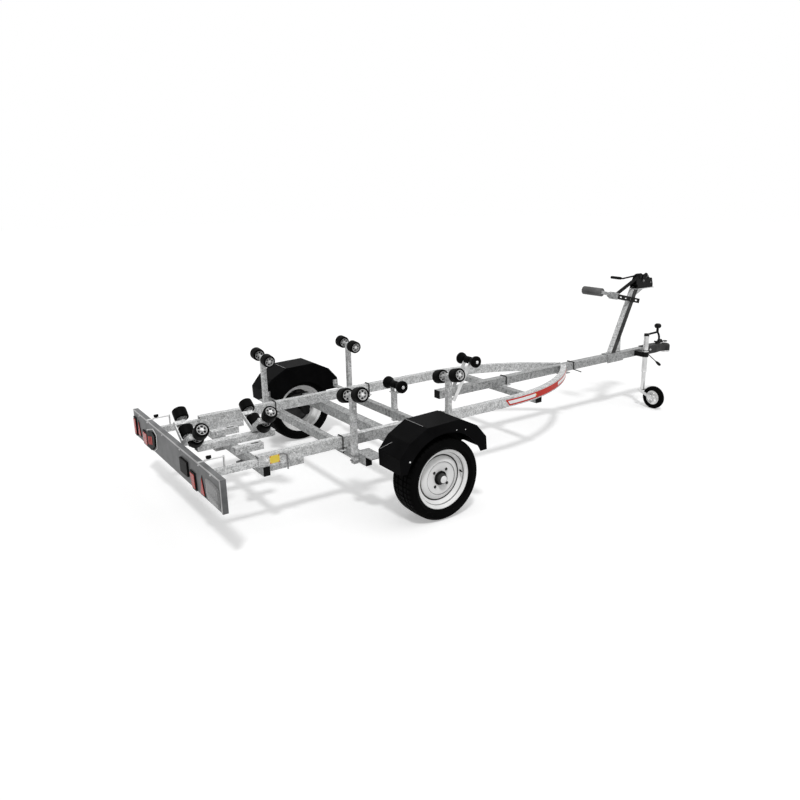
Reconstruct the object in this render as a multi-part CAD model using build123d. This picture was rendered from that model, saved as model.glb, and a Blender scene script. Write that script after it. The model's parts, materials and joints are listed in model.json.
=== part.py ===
import os
from math import sin, cos, acos, atan2, degrees, radians, sqrt
from build123d import *

os.makedirs("parts", exist_ok=True)

# Boat trailer, parked on its two road wheels and its jockey wheel.
# Sizes are in millimetres. X runs forward from the road axle, Y to the left, Z up.
# Everything is drawn level, then tipped nose up about the axle and moved along X.
MM = 1.0
NOSE_UP = 0.9
GAP = 0.3 * MM
RUN = 0.05 * MM
OVER = 1 * MM

# Road wheels
TYRE_R = 254 * MM
TYRE_W = 195 * MM
TYRE_Y = 898 * MM
RIM_FLANGE_R = 182.5 * MM
RIM_HALF = 79 * MM
BEAD_R = 166 * MM
WELL_R = 141 * MM
RIM_T = 4 * MM
DISC_FACE = 46 * MM
HUB_FLANGE_R = 68 * MM
HUB_FLANGE_T = 10 * MM
HUB_BARREL_R = 36 * MM
HUB_CAP_R = 27 * MM
HUB_CAP_L = 30 * MM
DRUM_R = 100 * MM
DRUM_L = 46 * MM
SPINDLE_R = 15 * MM
BEAD_IN = 9 * MM

# Side rails, bent inwards to the drawbar
RAIL_OUT = 486 * MM
RAIL_W = 45 * MM
RAIL_H = 65 * MM
RAIL_WALL = 4 * MM
RAIL_TOP = 461 * MM
RAIL_REAR = -930 * MM
BEND_START = 980 * MM
BEND_R = 1395 * MM
BEND_SWEEP = 50
RAIL_BOTTOM = RAIL_TOP - RAIL_H
RAIL_Y = RAIL_OUT - RAIL_W / 2

# Drawbar
DRAW_W = 60 * MM
DRAW_WALL = 4 * MM
DRAW_REAR = 704 * MM
DRAW_FRONT = 3130 * MM
DRAW_TOP = RAIL_BOTTOM + DRAW_W

# Cross tubes under the rails
SEAT = RAIL_BOTTOM - GAP
CROSS_W = 40 * MM
CROSS_H = 55 * MM
CROSS_WALL = 3 * MM
FLAT_W = 55 * MM
FLAT_H = 40 * MM
REAR_X = -890 * MM
REAR_HALF = 500 * MM
SIDE_X = -345 * MM
SIDE_HALF = 715 * MM
KEEL_X = 285 * MM
KEEL_HALF = 690 * MM
FRONT_X = 1300 * MM
FRONT_HALF = 445 * MM
CAP_T = 5 * MM

# Axle beam with rubber sprung arms
BEAM_X = 10 * MM
BEAM_W = 70 * MM
BEAM_HALF = 735 * MM
BEAM_WALL = 5 * MM
ARM_T = 26 * MM
ARM_TOP_R = 42 * MM
ARM_LOW_R = 32 * MM
BEAM_Z = SEAT - BEAM_W / 2

# Keel beam behind the axle
KBEAM_REAR = -1118 * MM
KBEAM_FRONT = -612 * MM
KBEAM_W = 60 * MM
KBEAM_H = 40 * MM
KBEAM_WALL = 3 * MM
KBEAM_TOP = RAIL_BOTTOM + KBEAM_H

# Rollers
ROLLER_R = 44 * MM
ROLLER_W = 68 * MM
ROLLER_BEVEL = 7 * MM
ROLLER_HUB_R = 31 * MM
ROLLER_RIM_T = 5 * MM
ROLLER_BOSS_R = 13 * MM
ROLLER_PIN_R = 8 * MM
SPOKES = 6
SPOKE_W = 6 * MM
PIN_STICK = 3 * MM
CRADLE_INNER = 78 * MM
CRADLE_PITCH = 125 * MM
CRADLE_TILT = 40
CRADLE_Z = 500 * MM
CRADLE_REAR_X = -1140 * MM
CRADLE_FRONT_X = -702 * MM
CRADLE_DROP = 10 * MM
ARM_BAR_W = 28 * MM
ARM_BAR_T = 6 * MM
ARM_CLEAR = 8 * MM
KNUCKLE_R = 14 * MM
CRADLE_LUG = 40 * MM
CRADLE_FOOT = 66 * MM
HEAD_PITCH = 170 * MM
HEAD_Z = 752 * MM
HEAD_LUG = 14 * MM

# Side posts
POST_W = 32 * MM
POST_WALL = 3 * MM
POST_Y = 615 * MM
POST_FOOT = 335 * MM
POST_TOP = 690 * MM
KPOST_FOOT = 300 * MM
KPOST_CLEAR = 12 * MM
PLATE_T = 6 * MM

# Keel rollers on the centre line
DUMB_L = 200 * MM
DUMB_R = 44 * MM
DUMB_NECK_R = 27 * MM
DUMB_PIN_R = 9 * MM
KROLL1_X = 332 * MM
KROLL1_Z = 562 * MM
KROLL2_X = 1000 * MM
KROLL2_Z = 640 * MM
STRUT_FOOT_X = 838 * MM
STRUT_FOOT_Z = 372 * MM
STRUT_BAR_W = 30 * MM
STRUT_BAR_T = 6 * MM
FOOT_PIN_R = 6 * MM

# Winch post
WPOST_FOOT_X = 2615 * MM
WPOST_W = 50 * MM
WPOST_WALL = 3 * MM
WPOST_LEAN = 25
WPOST_TOP = 997 * MM
WBASE_REAR = 2540 * MM
WBASE_FRONT = 2745 * MM
WBASE_DROP = 70 * MM
SHELF_REAR = 2862 * MM
SHELF_FRONT = 3085 * MM
SHELF_W = 90 * MM
SHELF_T = 6 * MM
GUSSET_H = 150 * MM
BRACE_H = 75 * MM
BRACE_L = 150 * MM

# Winch
DRUM_X = 2935 * MM
WDRUM_Z = 1068 * MM
WDRUM_R = 32 * MM
WDRUM_FLANGE_R = 51 * MM
WDRUM_HALF = 28 * MM
FLANGE_T = 3 * MM
GEAR_T = 4 * MM
GEAR_RATIO = 5
CHEEK_Y = 37 * MM
CHEEK_T = 4 * MM
CHEEK_H = 122 * MM
PINION_X = 2990 * MM
PINION_Z = 1104 * MM
CRANK_PIN_R = 7 * MM
CRANK_OUT = 14 * MM
CRANK_L = 208 * MM
CRANK_FALL = 14 * MM
CRANK_BAR_R = 7 * MM
CRANK_BOSS_R = 13 * MM
CRANK_GRIP_L = 125 * MM
CRANK_GRIP_R = 12 * MM
STRAP_W = 46 * MM
STRAP_T = 3 * MM
STRAP_LAP = 8 * MM

# Bow stop
BOW_RISE = 13.4
BOW_FRONT = 2918 * MM
BOW_LEN = 290 * MM
BOW_H = 40 * MM
BOW_Z_FRONT = 890 * MM
BOW_ROLLER_R = 34 * MM
BOW_ROLLER_L = 190 * MM
YOKE_L = 304 * MM
BOW_T = 5 * MM
BOW_WEB = 6 * MM
BOW_BEVEL = 3 * MM
SLOT_L = 30 * MM
SLOT_H = 12 * MM
YOKE_BLOCK = 58 * MM
YOKE_NUT_R = 23 * MM
YOKE_NUT_L = 34 * MM
YOKE_BAR_R = 9 * MM
YOKE_ARM_H = 26 * MM
YOKE_CLEAR = 24 * MM

# Coupling
HEAD_REAR = 3040 * MM
BALL_X = 3378 * MM
BALL_R = 25.4 * MM
DOME_R = 46 * MM
DOME_TOP = 448 * MM
DOME_LOW = 372 * MM
DOME_STEP = 7 * MM
NECK_RISE = 16 * MM
SOCKET_RISE = 20 * MM
HANDLE_L = 150 * MM
HANDLE_H = 34 * MM
HANDLE_W = 26 * MM

# Jockey wheel
LEG_X = 2937 * MM
LEG_Y = -120 * MM
LEG_OUT_R = 22 * MM
LEG_IN_R = 18 * MM
LEG_OUT_LOW = 265 * MM
LEG_OUT_TOP = 590 * MM
LEG_IN_LOW = 112 * MM
LEG_IN_TOP = 420 * MM
CASTOR_YAW = -88
CASTOR_OFF = 118 * MM
JOCKEY_R = 100 * MM
JOCKEY_W = 50 * MM
JOCKEY_RIM_R = 62 * MM
FORK_T = 5 * MM
FORK_CLEAR = 4 * MM
CROWN_T = 12 * MM
CROWN_REAR = 22 * MM
CROWN_FRONT = 14 * MM
JOCKEY_PIN_R = 6 * MM
JRIM_T = 7 * MM
JHUB_R = 17 * MM
JRIM_HOLES = 5
JRIM_HOLE_R = 9 * MM
LEG_CAP_T = 10 * MM
LEG_IN_WALL = 4 * MM
SCREW_R = 8 * MM
CLAMP_W = 72 * MM
CLAMP_FOOT = 9 * MM
CLAMP_WALL = 8 * MM
LEVER_R = 4 * MM
LEVER_BOSS_R = 9 * MM
LEVER_BOSS_L = 14 * MM
LEVER_FORTH = 55 * MM
LEVER_OUT = 73 * MM
LEVER_FALL = 80 * MM
GRIP_R = 13 * MM
GRIP_L = 58 * MM
JARM_RISE = 12 * MM
JARM_R = 9 * MM
JARM_L = 148 * MM
JKNOB_R = 30 * MM
JKNOB_H = 78 * MM
JLIMB_OUT = 30 * MM
JLIMB_L = 95 * MM
JLIMB_R = 9 * MM

# Light board
BOARD_X = -1264 * MM
BOARD_HALF = 776 * MM
BOARD_TOP = 499 * MM
BOARD_LOW = 316 * MM
BOARD_END_LOW = 312 * MM
BOARD_D = 31 * MM
BOARD_T = 2 * MM
BARM_W = 30 * MM
BARM_WALL = 2 * MM
BARM_FRONT = -640 * MM
BARM_H = 40 * MM
BARM_LAP = 6 * MM
BARM_PLATE = 38 * MM
LAMP_T = 12 * MM
ROD_R = 5 * MM
ROD_REACH = 112 * MM
KNOB_REACH = 28 * MM
KNOB_H = 22 * MM
KNOB_R = 9 * MM
KNOB_W = 28 * MM

# Small fittings of the frame
SADDLE_L = 150 * MM
SADDLE_T = 4 * MM
SADDLE_TAIL = 130 * MM
CHANNEL_SHIFT = 25 * MM
CHANNEL_Y = 190 * MM
CHANNEL_L = 180 * MM
CHANNEL_W = 50 * MM
CHANNEL_H = 40 * MM
CHANNEL_HOLE_R = 7 * MM
PAD_H = 38 * MM
JUNCTION_BACK = 96 * MM
JUNCTION_L = 105 * MM
WIRE_AHEAD = 93 * MM
WIRE_R = 4 * MM
WIRE_TAIL = 95 * MM
WIRE_DROP = 34 * MM

# Mudguards
GUARD_IN = 775 * MM
GUARD_W = 223 * MM
GUARD_OUT = GUARD_IN + GUARD_W
GUARD_T = 4 * MM
GUARD_R = 350 * MM
ARCH_R = 290 * MM
STAY_W = 40 * MM
STAY_REACH = 175 * MM
STAY_SHIFT = 52 * MM
STAY_H = 52 * MM

MID = (Align.CENTER, Align.CENTER, Align.CENTER)
FOOT = (Align.CENTER, Align.CENTER, Align.MIN)
parts = {}


# Plain builders
def block(x0, x1, y0, y1, z0, z1):
    return Pos((x0 + x1) / 2, (y0 + y1) / 2, (z0 + z1) / 2) * Box(x1 - x0, y1 - y0, z1 - z0)


def rod(a, b, radius):
    start, end = Vector(*a), Vector(*b)
    return Plane(origin=start, z_dir=end - start) * Cylinder(radius, (end - start).length, align=FOOT)


def mirrored(shape):
    return mirror(shape, about=Plane.XZ)


def ring(profile_points):
    face = Plane.YZ * make_face(Polyline(*profile_points, close=True))
    return revolve(face, axis=Axis.Y, revolution_arc=360)


def turned(profile_points):
    face = Plane.XZ * make_face(Polyline(*profile_points, close=True))
    return revolve(face, axis=Axis.Z, revolution_arc=360)


def tube_x(x0, x1, y, z, w, h, wall):
    outer = block(x0, x1, y - w / 2, y + w / 2, z - h / 2, z + h / 2)
    half_w, half_h = w / 2 - wall, h / 2 - wall
    return outer - block(x0 - wall, x1 + wall, y - half_w, y + half_w, z - half_h, z + half_h)


def tube_y(x, z, w, h, half, wall):
    outer = block(x - w / 2, x + w / 2, -half, half, z - h / 2, z + h / 2)
    half_w, half_h = w / 2 - wall, h / 2 - wall
    return outer - block(x - half_w, x + half_w, -half - wall, half + wall, z - half_h, z + half_h)


def group(*shapes):
    solids = []
    for shape in shapes:
        solids.extend(shape.solids())
    return Compound(children=solids)


# Side rails
def side_rail():
    straight = block(RAIL_REAR, BEND_START, RAIL_Y - RAIL_W / 2, RAIL_OUT, RAIL_BOTTOM, RAIL_TOP)
    straight -= block(
        RAIL_REAR - RAIL_WALL, BEND_START,
        RAIL_Y - RAIL_W / 2 + RAIL_WALL, RAIL_OUT - RAIL_WALL,
        RAIL_BOTTOM + RAIL_WALL, RAIL_TOP - RAIL_WALL,
    )
    section = Plane(origin=(BEND_START, RAIL_Y, RAIL_TOP - RAIL_H / 2), z_dir=(1, 0, 0), x_dir=(0, 1, 0))
    wall = section * (Rectangle(RAIL_W, RAIL_H) - Rectangle(RAIL_W - 2 * RAIL_WALL, RAIL_H - 2 * RAIL_WALL))
    centre = Axis((BEND_START, RAIL_Y - BEND_R, 0), (0, 0, -1))
    bend = revolve(wall, axis=centre, revolution_arc=BEND_SWEEP)
    keep = block(BEND_START - GAP, DRAW_FRONT, DRAW_W / 2 + GAP, RAIL_OUT + GAP, 0, DRAW_TOP + RAIL_H)
    return straight + (bend & keep)


left_rail = side_rail()
parts["side_rails"] = group(left_rail, mirrored(left_rail))
rail_tip = BEND_START + sqrt((BEND_R + RAIL_W / 2) ** 2 - (BEND_R - RAIL_Y + DRAW_W / 2) ** 2)

# Drawbar
draw_z = RAIL_BOTTOM + DRAW_W / 2
parts["drawbar"] = tube_x(DRAW_REAR, DRAW_FRONT, 0, draw_z, DRAW_W, DRAW_W, DRAW_WALL)

# Cross tubes and axle beam
crossings = (
    # station, half length, width, height
    (REAR_X, REAR_HALF, CROSS_W, CROSS_H),
    (SIDE_X, SIDE_HALF, CROSS_W, CROSS_H),
    (KEEL_X, KEEL_HALF, CROSS_W, CROSS_H),
    (FRONT_X, FRONT_HALF, FLAT_W, FLAT_H),
)
tubes = []
caps = []
for station, half, width, height in crossings:
    z = SEAT - height / 2
    tubes.append(tube_y(station, z, width, height, half - CAP_T, CROSS_WALL))
    cap = block(station - width / 2, station + width / 2, half - CAP_T + GAP, half, SEAT - height, SEAT)
    caps.extend([cap, mirrored(cap)])
caps.append(block(DRAW_REAR - CAP_T, DRAW_REAR - GAP, -DRAW_W / 2, DRAW_W / 2, RAIL_BOTTOM, DRAW_TOP))
parts["cross_tubes"] = group(*tubes)
parts["axle_beam"] = tube_y(BEAM_X, BEAM_Z, BEAM_W, BEAM_W, BEAM_HALF, BEAM_WALL)

# Sprung arms with their stub axles
arm_in = BEAM_HALF + GAP
arm_out = arm_in + ARM_T


def sprung_arm():
    top = rod((BEAM_X, arm_in, BEAM_Z), (BEAM_X, arm_out, BEAM_Z), ARM_TOP_R)
    low = rod((0, arm_in, TYRE_R), (0, arm_out, TYRE_R), ARM_LOW_R)
    web = block(-ARM_LOW_R, ARM_LOW_R, arm_in, arm_out, TYRE_R, BEAM_Z)
    spindle = rod((0, arm_out - RUN, TYRE_R), (0, TYRE_Y + DISC_FACE + HUB_CAP_L / 2, TYRE_R), SPINDLE_R)
    return top + low + web + spindle


left_arm = sprung_arm()
parts["axle_arms"] = group(left_arm, mirrored(left_arm))


# Wheel pieces, drawn for the left side with the outer face towards +Y
def tyre():
    half = TYRE_W / 2
    shoulder = TYRE_R * 0.955
    points = [
        (-RIM_HALF + BEAD_IN, BEAD_R + GAP),
        (-RIM_HALF + GAP + RIM_T, RIM_FLANGE_R),
        (-half * 0.97, RIM_FLANGE_R + half * 0.14),
        (-half, RIM_FLANGE_R + half * 0.34),
        (-half * 0.93, shoulder),
        (-half * 0.78, TYRE_R * 0.99),
        (-half * 0.4, TYRE_R),
    ]
    outer = points + [(-y, r) for y, r in reversed(points)]
    hollow = [
        (RIM_HALF - BEAD_IN * 2, BEAD_R + GAP),
        (half - BEAD_IN, RIM_FLANGE_R + half * 0.3),
        (half * 0.8, TYRE_R * 0.94),
    ]
    inner = hollow + [(-y, r) for y, r in reversed(hollow)]
    return ring(outer + inner)


def rim():
    lip = RIM_FLANGE_R
    seat = BEAD_R
    well = WELL_R
    t = RIM_T
    face = DISC_FACE
    barrel = ring([
        (-RIM_HALF, lip), (-RIM_HALF + t, lip), (-RIM_HALF + t, seat), (-RIM_HALF * 0.45, seat * 0.98),
        (-RIM_HALF * 0.3, well), (RIM_HALF * 0.4, well), (RIM_HALF * 0.55, seat * 0.98),
        (RIM_HALF - t, seat), (RIM_HALF - t, lip), (RIM_HALF, lip), (RIM_HALF, seat - t),
        (RIM_HALF * 0.57, seat * 0.98 - t), (RIM_HALF * 0.43, well - t), (-RIM_HALF * 0.33, well - t),
        (-RIM_HALF * 0.47, seat * 0.98 - t), (-RIM_HALF, seat - t),
    ])
    disc = ring([
        (RIM_HALF * 0.1, well - t / 2), (face * 0.75, well * 0.82), (face * 1.2, well * 0.72),
        (face * 1.2, well * 0.62), (face, well * 0.54), (face, HUB_BARREL_R * 0.8),
        (face - t, HUB_BARREL_R * 0.8), (face - t, well * 0.54 + t), (face * 1.2 - t, well * 0.62 + t),
        (face * 1.2 - t, well * 0.72 - t), (face * 0.75 - t, well * 0.82 - t),
        (RIM_HALF * 0.1 - t, well - t / 2),
    ])
    return barrel + disc


def hub():
    back = DISC_FACE - RIM_T - GAP
    flange = rod((0, back - HUB_FLANGE_T, 0), (0, back, 0), HUB_FLANGE_R)
    drum = rod((0, back - HUB_FLANGE_T - DRUM_L, 0), (0, back - HUB_FLANGE_T, 0), DRUM_R)
    nose = rod((0, back - HUB_FLANGE_T, 0), (0, DISC_FACE + HUB_CAP_L, 0), HUB_CAP_R)
    body = flange + drum + nose
    bore_rear = back - HUB_FLANGE_T - DRUM_L - OVER
    bore_front = DISC_FACE + HUB_CAP_L / 2 + OVER
    return body - rod((0, bore_rear, 0), (0, bore_front, 0), SPINDLE_R + RUN)


for side, flip in (("left", 1), ("right", -1)):
    for name, shape in (("tyre", tyre()), ("rim", rim()), ("hub", hub())):
        placed = Pos(0, TYRE_Y, TYRE_R) * shape
        parts[name + "_" + side] = placed if flip > 0 else mirrored(placed)


# Mudguards, faceted over the tyre, with a round arch cut in both skirts
guard_shares = (
    # along X and up from the wheel's centre, from the rear end over the top to the front end
    (-0.90, 0.30), (-0.91, 0.57), (-0.715, 0.80), (-0.37, 0.99),
    (0.31, 1.01), (0.67, 0.83), (0.875, 0.595), (0.895, 0.355),
)


def guard_slab(radius, drop, y0, y1):
    points = [(share_x * radius, TYRE_R + share_z * radius) for share_x, share_z in guard_shares]
    points = [(points[0][0], points[0][1] - drop)] + points + [(points[-1][0], points[-1][1] - drop)]
    face = Plane.XZ * make_face(Polyline(*points, close=True))
    return Pos(0, y1, 0) * extrude(face, y1 - y0)


def guard():
    shell = guard_slab(GUARD_R, GUARD_T / 2, GUARD_IN, GUARD_OUT)
    shell -= guard_slab(GUARD_R - GUARD_T, GUARD_T * 4, GUARD_IN + GUARD_T, GUARD_OUT - GUARD_T)
    return shell - rod((0, GUARD_IN - OVER, TYRE_R), (0, GUARD_OUT + OVER, TYRE_R), ARCH_R)


left_guard = guard()
parts["mudguards"] = group(left_guard, mirrored(left_guard))

# Mudguard stays, from the cross tubes' ends to the inner skirts
stay_z = SEAT + GAP
stay_y = GUARD_IN - GAP
stays = []
for tube_x_at, skirt_x in ((SIDE_X, SIDE_X + STAY_SHIFT), (KEEL_X, KEEL_X)):
    low_x = min(tube_x_at - CROSS_W / 2, skirt_x - STAY_W / 2)
    high_x = max(tube_x_at + CROSS_W / 2, skirt_x + STAY_W / 2)
    stay = block(low_x, high_x, GUARD_IN - STAY_REACH, stay_y, stay_z, stay_z + PLATE_T)
    skirt_rear, skirt_front = skirt_x - STAY_W / 2, skirt_x + STAY_W / 2
    stay += block(skirt_rear, skirt_front, stay_y - PLATE_T, stay_y, stay_z, stay_z + STAY_H)
    stays.extend([stay, mirrored(stay)])
parts["mudguard_stays"] = group(*stays)

# Keel beam
parts["keel_beam"] = tube_x(
    KBEAM_REAR, KBEAM_FRONT, 0, RAIL_BOTTOM + KBEAM_H / 2, KBEAM_W, KBEAM_H, KBEAM_WALL
)


# Rollers
def roller():
    half = ROLLER_W / 2
    tread = ring([
        (-half, ROLLER_HUB_R + GAP), (-half, ROLLER_R - ROLLER_BEVEL), (-half + ROLLER_BEVEL, ROLLER_R),
        (half - ROLLER_BEVEL, ROLLER_R), (half, ROLLER_R - ROLLER_BEVEL), (half, ROLLER_HUB_R + GAP),
    ])
    rim_half = half - ROLLER_RIM_T
    hub_rim = ring([
        (-rim_half, ROLLER_HUB_R - ROLLER_RIM_T), (-rim_half, ROLLER_HUB_R),
        (rim_half, ROLLER_HUB_R), (rim_half, ROLLER_HUB_R - ROLLER_RIM_T),
    ])
    boss_half = half - OVER
    boss = ring([
        (-boss_half, ROLLER_PIN_R + RUN), (-boss_half, ROLLER_BOSS_R),
        (boss_half, ROLLER_BOSS_R), (boss_half, ROLLER_PIN_R + RUN),
    ])
    hub_solid = hub_rim + boss
    spoke_half = half - 2 * ROLLER_RIM_T
    spoke_in = ROLLER_BOSS_R - OVER
    spoke_out = ROLLER_HUB_R - OVER
    spoke = block(-SPOKE_W / 2, SPOKE_W / 2, -spoke_half, spoke_half, spoke_in, spoke_out)
    for k in range(SPOKES):
        hub_solid += Rot(0, k * 360 / SPOKES, 0) * spoke
    return tread, hub_solid


def pose_axis(centre, tilt):
    # The axis of a twin roller set points outwards along Y and rises by tilt
    return Pos(*centre) * Rot(tilt, 0, 0)


def twin(centre, tilt, pitch):
    tread, hub_solid = roller()
    placed = []
    for share in (-0.5, 0.5):
        for piece in (tread, hub_solid):
            placed.append(pose_axis(centre, tilt) * (Pos(0, share * pitch, 0) * piece))
    return group(*placed)


def axle_pin(centre, tilt, pitch):
    reach = pitch / 2 + ROLLER_W / 2 + PIN_STICK
    return pose_axis(centre, tilt) * rod((0, -reach, 0), (0, reach, 0), ROLLER_PIN_R)


cradles = (
    # name, station, height of inner rollers, roll
    ("rear", CRADLE_REAR_X, CRADLE_Z, 3),
    ("front", CRADLE_FRONT_X, CRADLE_Z - CRADLE_DROP, -5),
)
cradle_frames = []
for name, station, height, roll in cradles:
    root = KBEAM_TOP
    turn = Pos(station, 0, root) * Rot(roll, 0, 0) * Pos(-station, 0, -root)
    lug_top = KBEAM_TOP + CRADLE_LUG
    lug_half = CRADLE_LUG / 2
    bracket = block(
        station - lug_half, station + CRADLE_FOOT, -lug_half, lug_half, KBEAM_TOP + GAP, lug_top
    )
    arm_x = station - ROLLER_R - ARM_CLEAR
    bracket += block(arm_x - ARM_BAR_T, station, -lug_half, lug_half, lug_top - ARM_BAR_W, lug_top)
    for side, flip in (("left", 1), ("right", -1)):
        out = CRADLE_INNER + CRADLE_PITCH / 2 * cos(radians(CRADLE_TILT))
        up = CRADLE_PITCH / 2 * sin(radians(CRADLE_TILT))
        centre = (station, flip * out, height + up)
        parts["cradle_rollers_" + name + "_" + side] = turn * twin(centre, flip * CRADLE_TILT, CRADLE_PITCH)
        pin = axle_pin((0, 0, 0), 0, CRADLE_PITCH)
        knuckle_rear = arm_x - ARM_BAR_T - station
        knuckle = block(knuckle_rear, KNUCKLE_R, -ARM_BAR_W / 2, ARM_BAR_W / 2, -KNUCKLE_R, KNUCKLE_R)
        bracket += turn * (pose_axis(centre, flip * CRADLE_TILT) * (pin + knuckle))
        root_z = lug_top - ARM_BAR_W / 2
        reach = sqrt(out ** 2 + (centre[2] - root_z) ** 2)
        climb = atan2(centre[2] - root_z, out)
        bar = Pos(arm_x - ARM_BAR_T / 2, reach / 2, 0) * Box(ARM_BAR_T, reach, ARM_BAR_W)
        bar = Pos(0, 0, root_z) * Rot(degrees(climb), 0, 0) * bar
        bracket += turn * (bar if flip > 0 else mirrored(bar))
    cradle_frames.append(bracket)
parts["cradle_brackets"] = group(*cradle_frames)

heads = (
    # name, station, side, tilt
    ("rear_left", SIDE_X - CROSS_W / 2 - GAP - POST_W / 2, 1, 6),
    ("rear_right", SIDE_X - CROSS_W / 2 - GAP - POST_W / 2, -1, 14),
    ("front_left", KEEL_X + CROSS_W / 2 + GAP + POST_W / 2, 1, 4),
    ("front_right", KEEL_X + CROSS_W / 2 + GAP + POST_W / 2, -1, 14),
)
posts = []
head_pins = []
for name, station, flip, tilt in heads:
    outer = block(
        station - POST_W / 2, station + POST_W / 2,
        flip * POST_Y - POST_W / 2, flip * POST_Y + POST_W / 2, POST_FOOT, POST_TOP,
    )
    inner = block(
        station - POST_W / 2 + POST_WALL, station + POST_W / 2 - POST_WALL,
        flip * POST_Y - POST_W / 2 + POST_WALL, flip * POST_Y + POST_W / 2 - POST_WALL,
        POST_FOOT - OVER, POST_TOP + OVER,
    )
    posts.append(outer - inner)
    centre = (station, flip * POST_Y, HEAD_Z)
    parts["side_rollers_" + name] = twin(centre, flip * tilt, HEAD_PITCH)
    pin = axle_pin(centre, flip * tilt, HEAD_PITCH)
    lug = block(
        station - POST_W / 2, station + POST_W / 2,
        flip * POST_Y - POST_W / 2, flip * POST_Y + POST_W / 2, POST_TOP + GAP, HEAD_Z + HEAD_LUG,
    )
    head_pins.append(pin + lug)
parts["side_posts"] = group(*posts)
parts["roller_heads"] = group(*head_pins)


# Keel rollers: two flared ends and a neck sleeve, with the holding bars between them
bar_in = DRAW_W / 2 + GAP
bar_out = bar_in + STRUT_BAR_T


def keel_roller():
    half = DUMB_L / 2
    near = bar_out + GAP
    bore = DUMB_PIN_R + RUN
    end = ring([
        (near, bore), (near, DUMB_NECK_R), (half * 0.5, DUMB_R * 0.82), (half * 0.66, DUMB_R * 0.98),
        (half * 0.84, DUMB_R), (half * 0.95, DUMB_R * 0.93), (half, DUMB_R * 0.72), (half, bore),
    ])
    sleeve = ring([
        (-bar_in + GAP, bore), (-bar_in + GAP, DUMB_NECK_R), (bar_in - GAP, DUMB_NECK_R), (bar_in - GAP, bore),
    ])
    return group(end, mirrored(end), sleeve)


parts["keel_roller_mid"] = Pos(KROLL1_X, 0, KROLL1_Z) * keel_roller()
parts["keel_roller_front"] = Pos(KROLL2_X, 0, KROLL2_Z) * keel_roller()
pin_reach = DUMB_L / 2 + PIN_STICK

# Keel post on the middle cross tube
kpost_x = KEEL_X + CROSS_W / 2 + GAP + POST_W / 2
kpost_top = KROLL1_Z - DUMB_R - KPOST_CLEAR
keel_post = block(kpost_x - POST_W / 2, kpost_x + POST_W / 2, -POST_W / 2, POST_W / 2, KPOST_FOOT, kpost_top)
keel_post += block(
    kpost_x - POST_W / 2, kpost_x + POST_W / 2, -bar_out, bar_out, kpost_top, kpost_top + PLATE_T
)
for flip in (-1, 1):
    y0, y1 = sorted((flip * bar_in, flip * bar_out))
    keel_post += block(KROLL1_X - POST_W / 2, KROLL1_X + POST_W / 2, y0, y1, kpost_top, KROLL1_Z + POST_W / 2)
keel_post += rod((KROLL1_X, -pin_reach, KROLL1_Z), (KROLL1_X, pin_reach, KROLL1_Z), DUMB_PIN_R)
parts["keel_post"] = keel_post

# Raking strut of the front keel roller
bars = []
for flip in (-1, 1):
    y0, y1 = sorted((flip * bar_in, flip * bar_out))
    face = Plane(
        origin=(STRUT_FOOT_X, y1, STRUT_FOOT_Z), z_dir=(0, -1, 0),
        x_dir=(KROLL2_X - STRUT_FOOT_X, 0, KROLL2_Z - STRUT_FOOT_Z),
    )
    run = sqrt((KROLL2_X - STRUT_FOOT_X) ** 2 + (KROLL2_Z - STRUT_FOOT_Z) ** 2)
    bars.append(face * (Pos(run / 2, 0, STRUT_BAR_T / 2) * Box(run + STRUT_BAR_W, STRUT_BAR_W, STRUT_BAR_T)))
strut_pin = rod((KROLL2_X, -pin_reach, KROLL2_Z), (KROLL2_X, pin_reach, KROLL2_Z), DUMB_PIN_R)
foot_pin = rod((STRUT_FOOT_X, -bar_out, STRUT_FOOT_Z), (STRUT_FOOT_X, bar_out, STRUT_FOOT_Z), FOOT_PIN_R)
parts["keel_strut"] = bars[0] + bars[1] + foot_pin + strut_pin

# Winch post with its base plates, gusset, shelf and brace
lean = radians(WPOST_LEAN)
wpost_len = (WPOST_TOP - DRAW_TOP) / cos(lean)
wpost_foot = (WPOST_FOOT_X, 0, DRAW_TOP)
wpost_plane = Plane(origin=wpost_foot, z_dir=(sin(lean), 0, cos(lean)), x_dir=(cos(lean), 0, -sin(lean)))
wpost_in = WPOST_W - 2 * WPOST_WALL
post_out = wpost_plane * (Pos(0, 0, -WPOST_W) * Box(WPOST_W, WPOST_W, 2 * wpost_len, align=FOOT))
post_in = wpost_plane * (Pos(0, 0, -2 * WPOST_W) * Box(wpost_in, wpost_in, 3 * wpost_len, align=FOOT))
base_z = DRAW_TOP + GAP
plate_z = base_z + PLATE_T
above = block(WBASE_REAR, SHELF_FRONT, -SHELF_W, SHELF_W, plate_z, WPOST_TOP)
winch_post = (post_out - post_in) & above
base_half = DRAW_W / 2 + GAP + PLATE_T
base = block(WBASE_REAR, WBASE_FRONT, -base_half, base_half, base_z, plate_z)
for flip in (-1, 1):
    y0, y1 = sorted((flip * (base_half - PLATE_T), flip * base_half))
    base += block(WBASE_REAR, WBASE_FRONT, y0, y1, DRAW_TOP - WBASE_DROP, plate_z)
gusset_foot = WBASE_FRONT - PLATE_T
gusset_top = DRAW_TOP + GUSSET_H
gusset_lean = WPOST_FOOT_X + GUSSET_H * sin(lean) / cos(lean)
gusset_face = Plane.XZ * make_face(Polyline(
    (WPOST_FOOT_X, base_z), (gusset_foot, base_z),
    (gusset_lean + WPOST_W, gusset_top), (gusset_lean, gusset_top), close=True,
))
gusset = Pos(0, PLATE_T / 2, 0) * extrude(gusset_face, PLATE_T)
shelf = block(SHELF_REAR, SHELF_FRONT, -SHELF_W / 2, SHELF_W / 2, WPOST_TOP, WPOST_TOP + SHELF_T)
post_head = WPOST_FOOT_X + (WPOST_TOP - DRAW_TOP) * sin(lean) / cos(lean)
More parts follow.
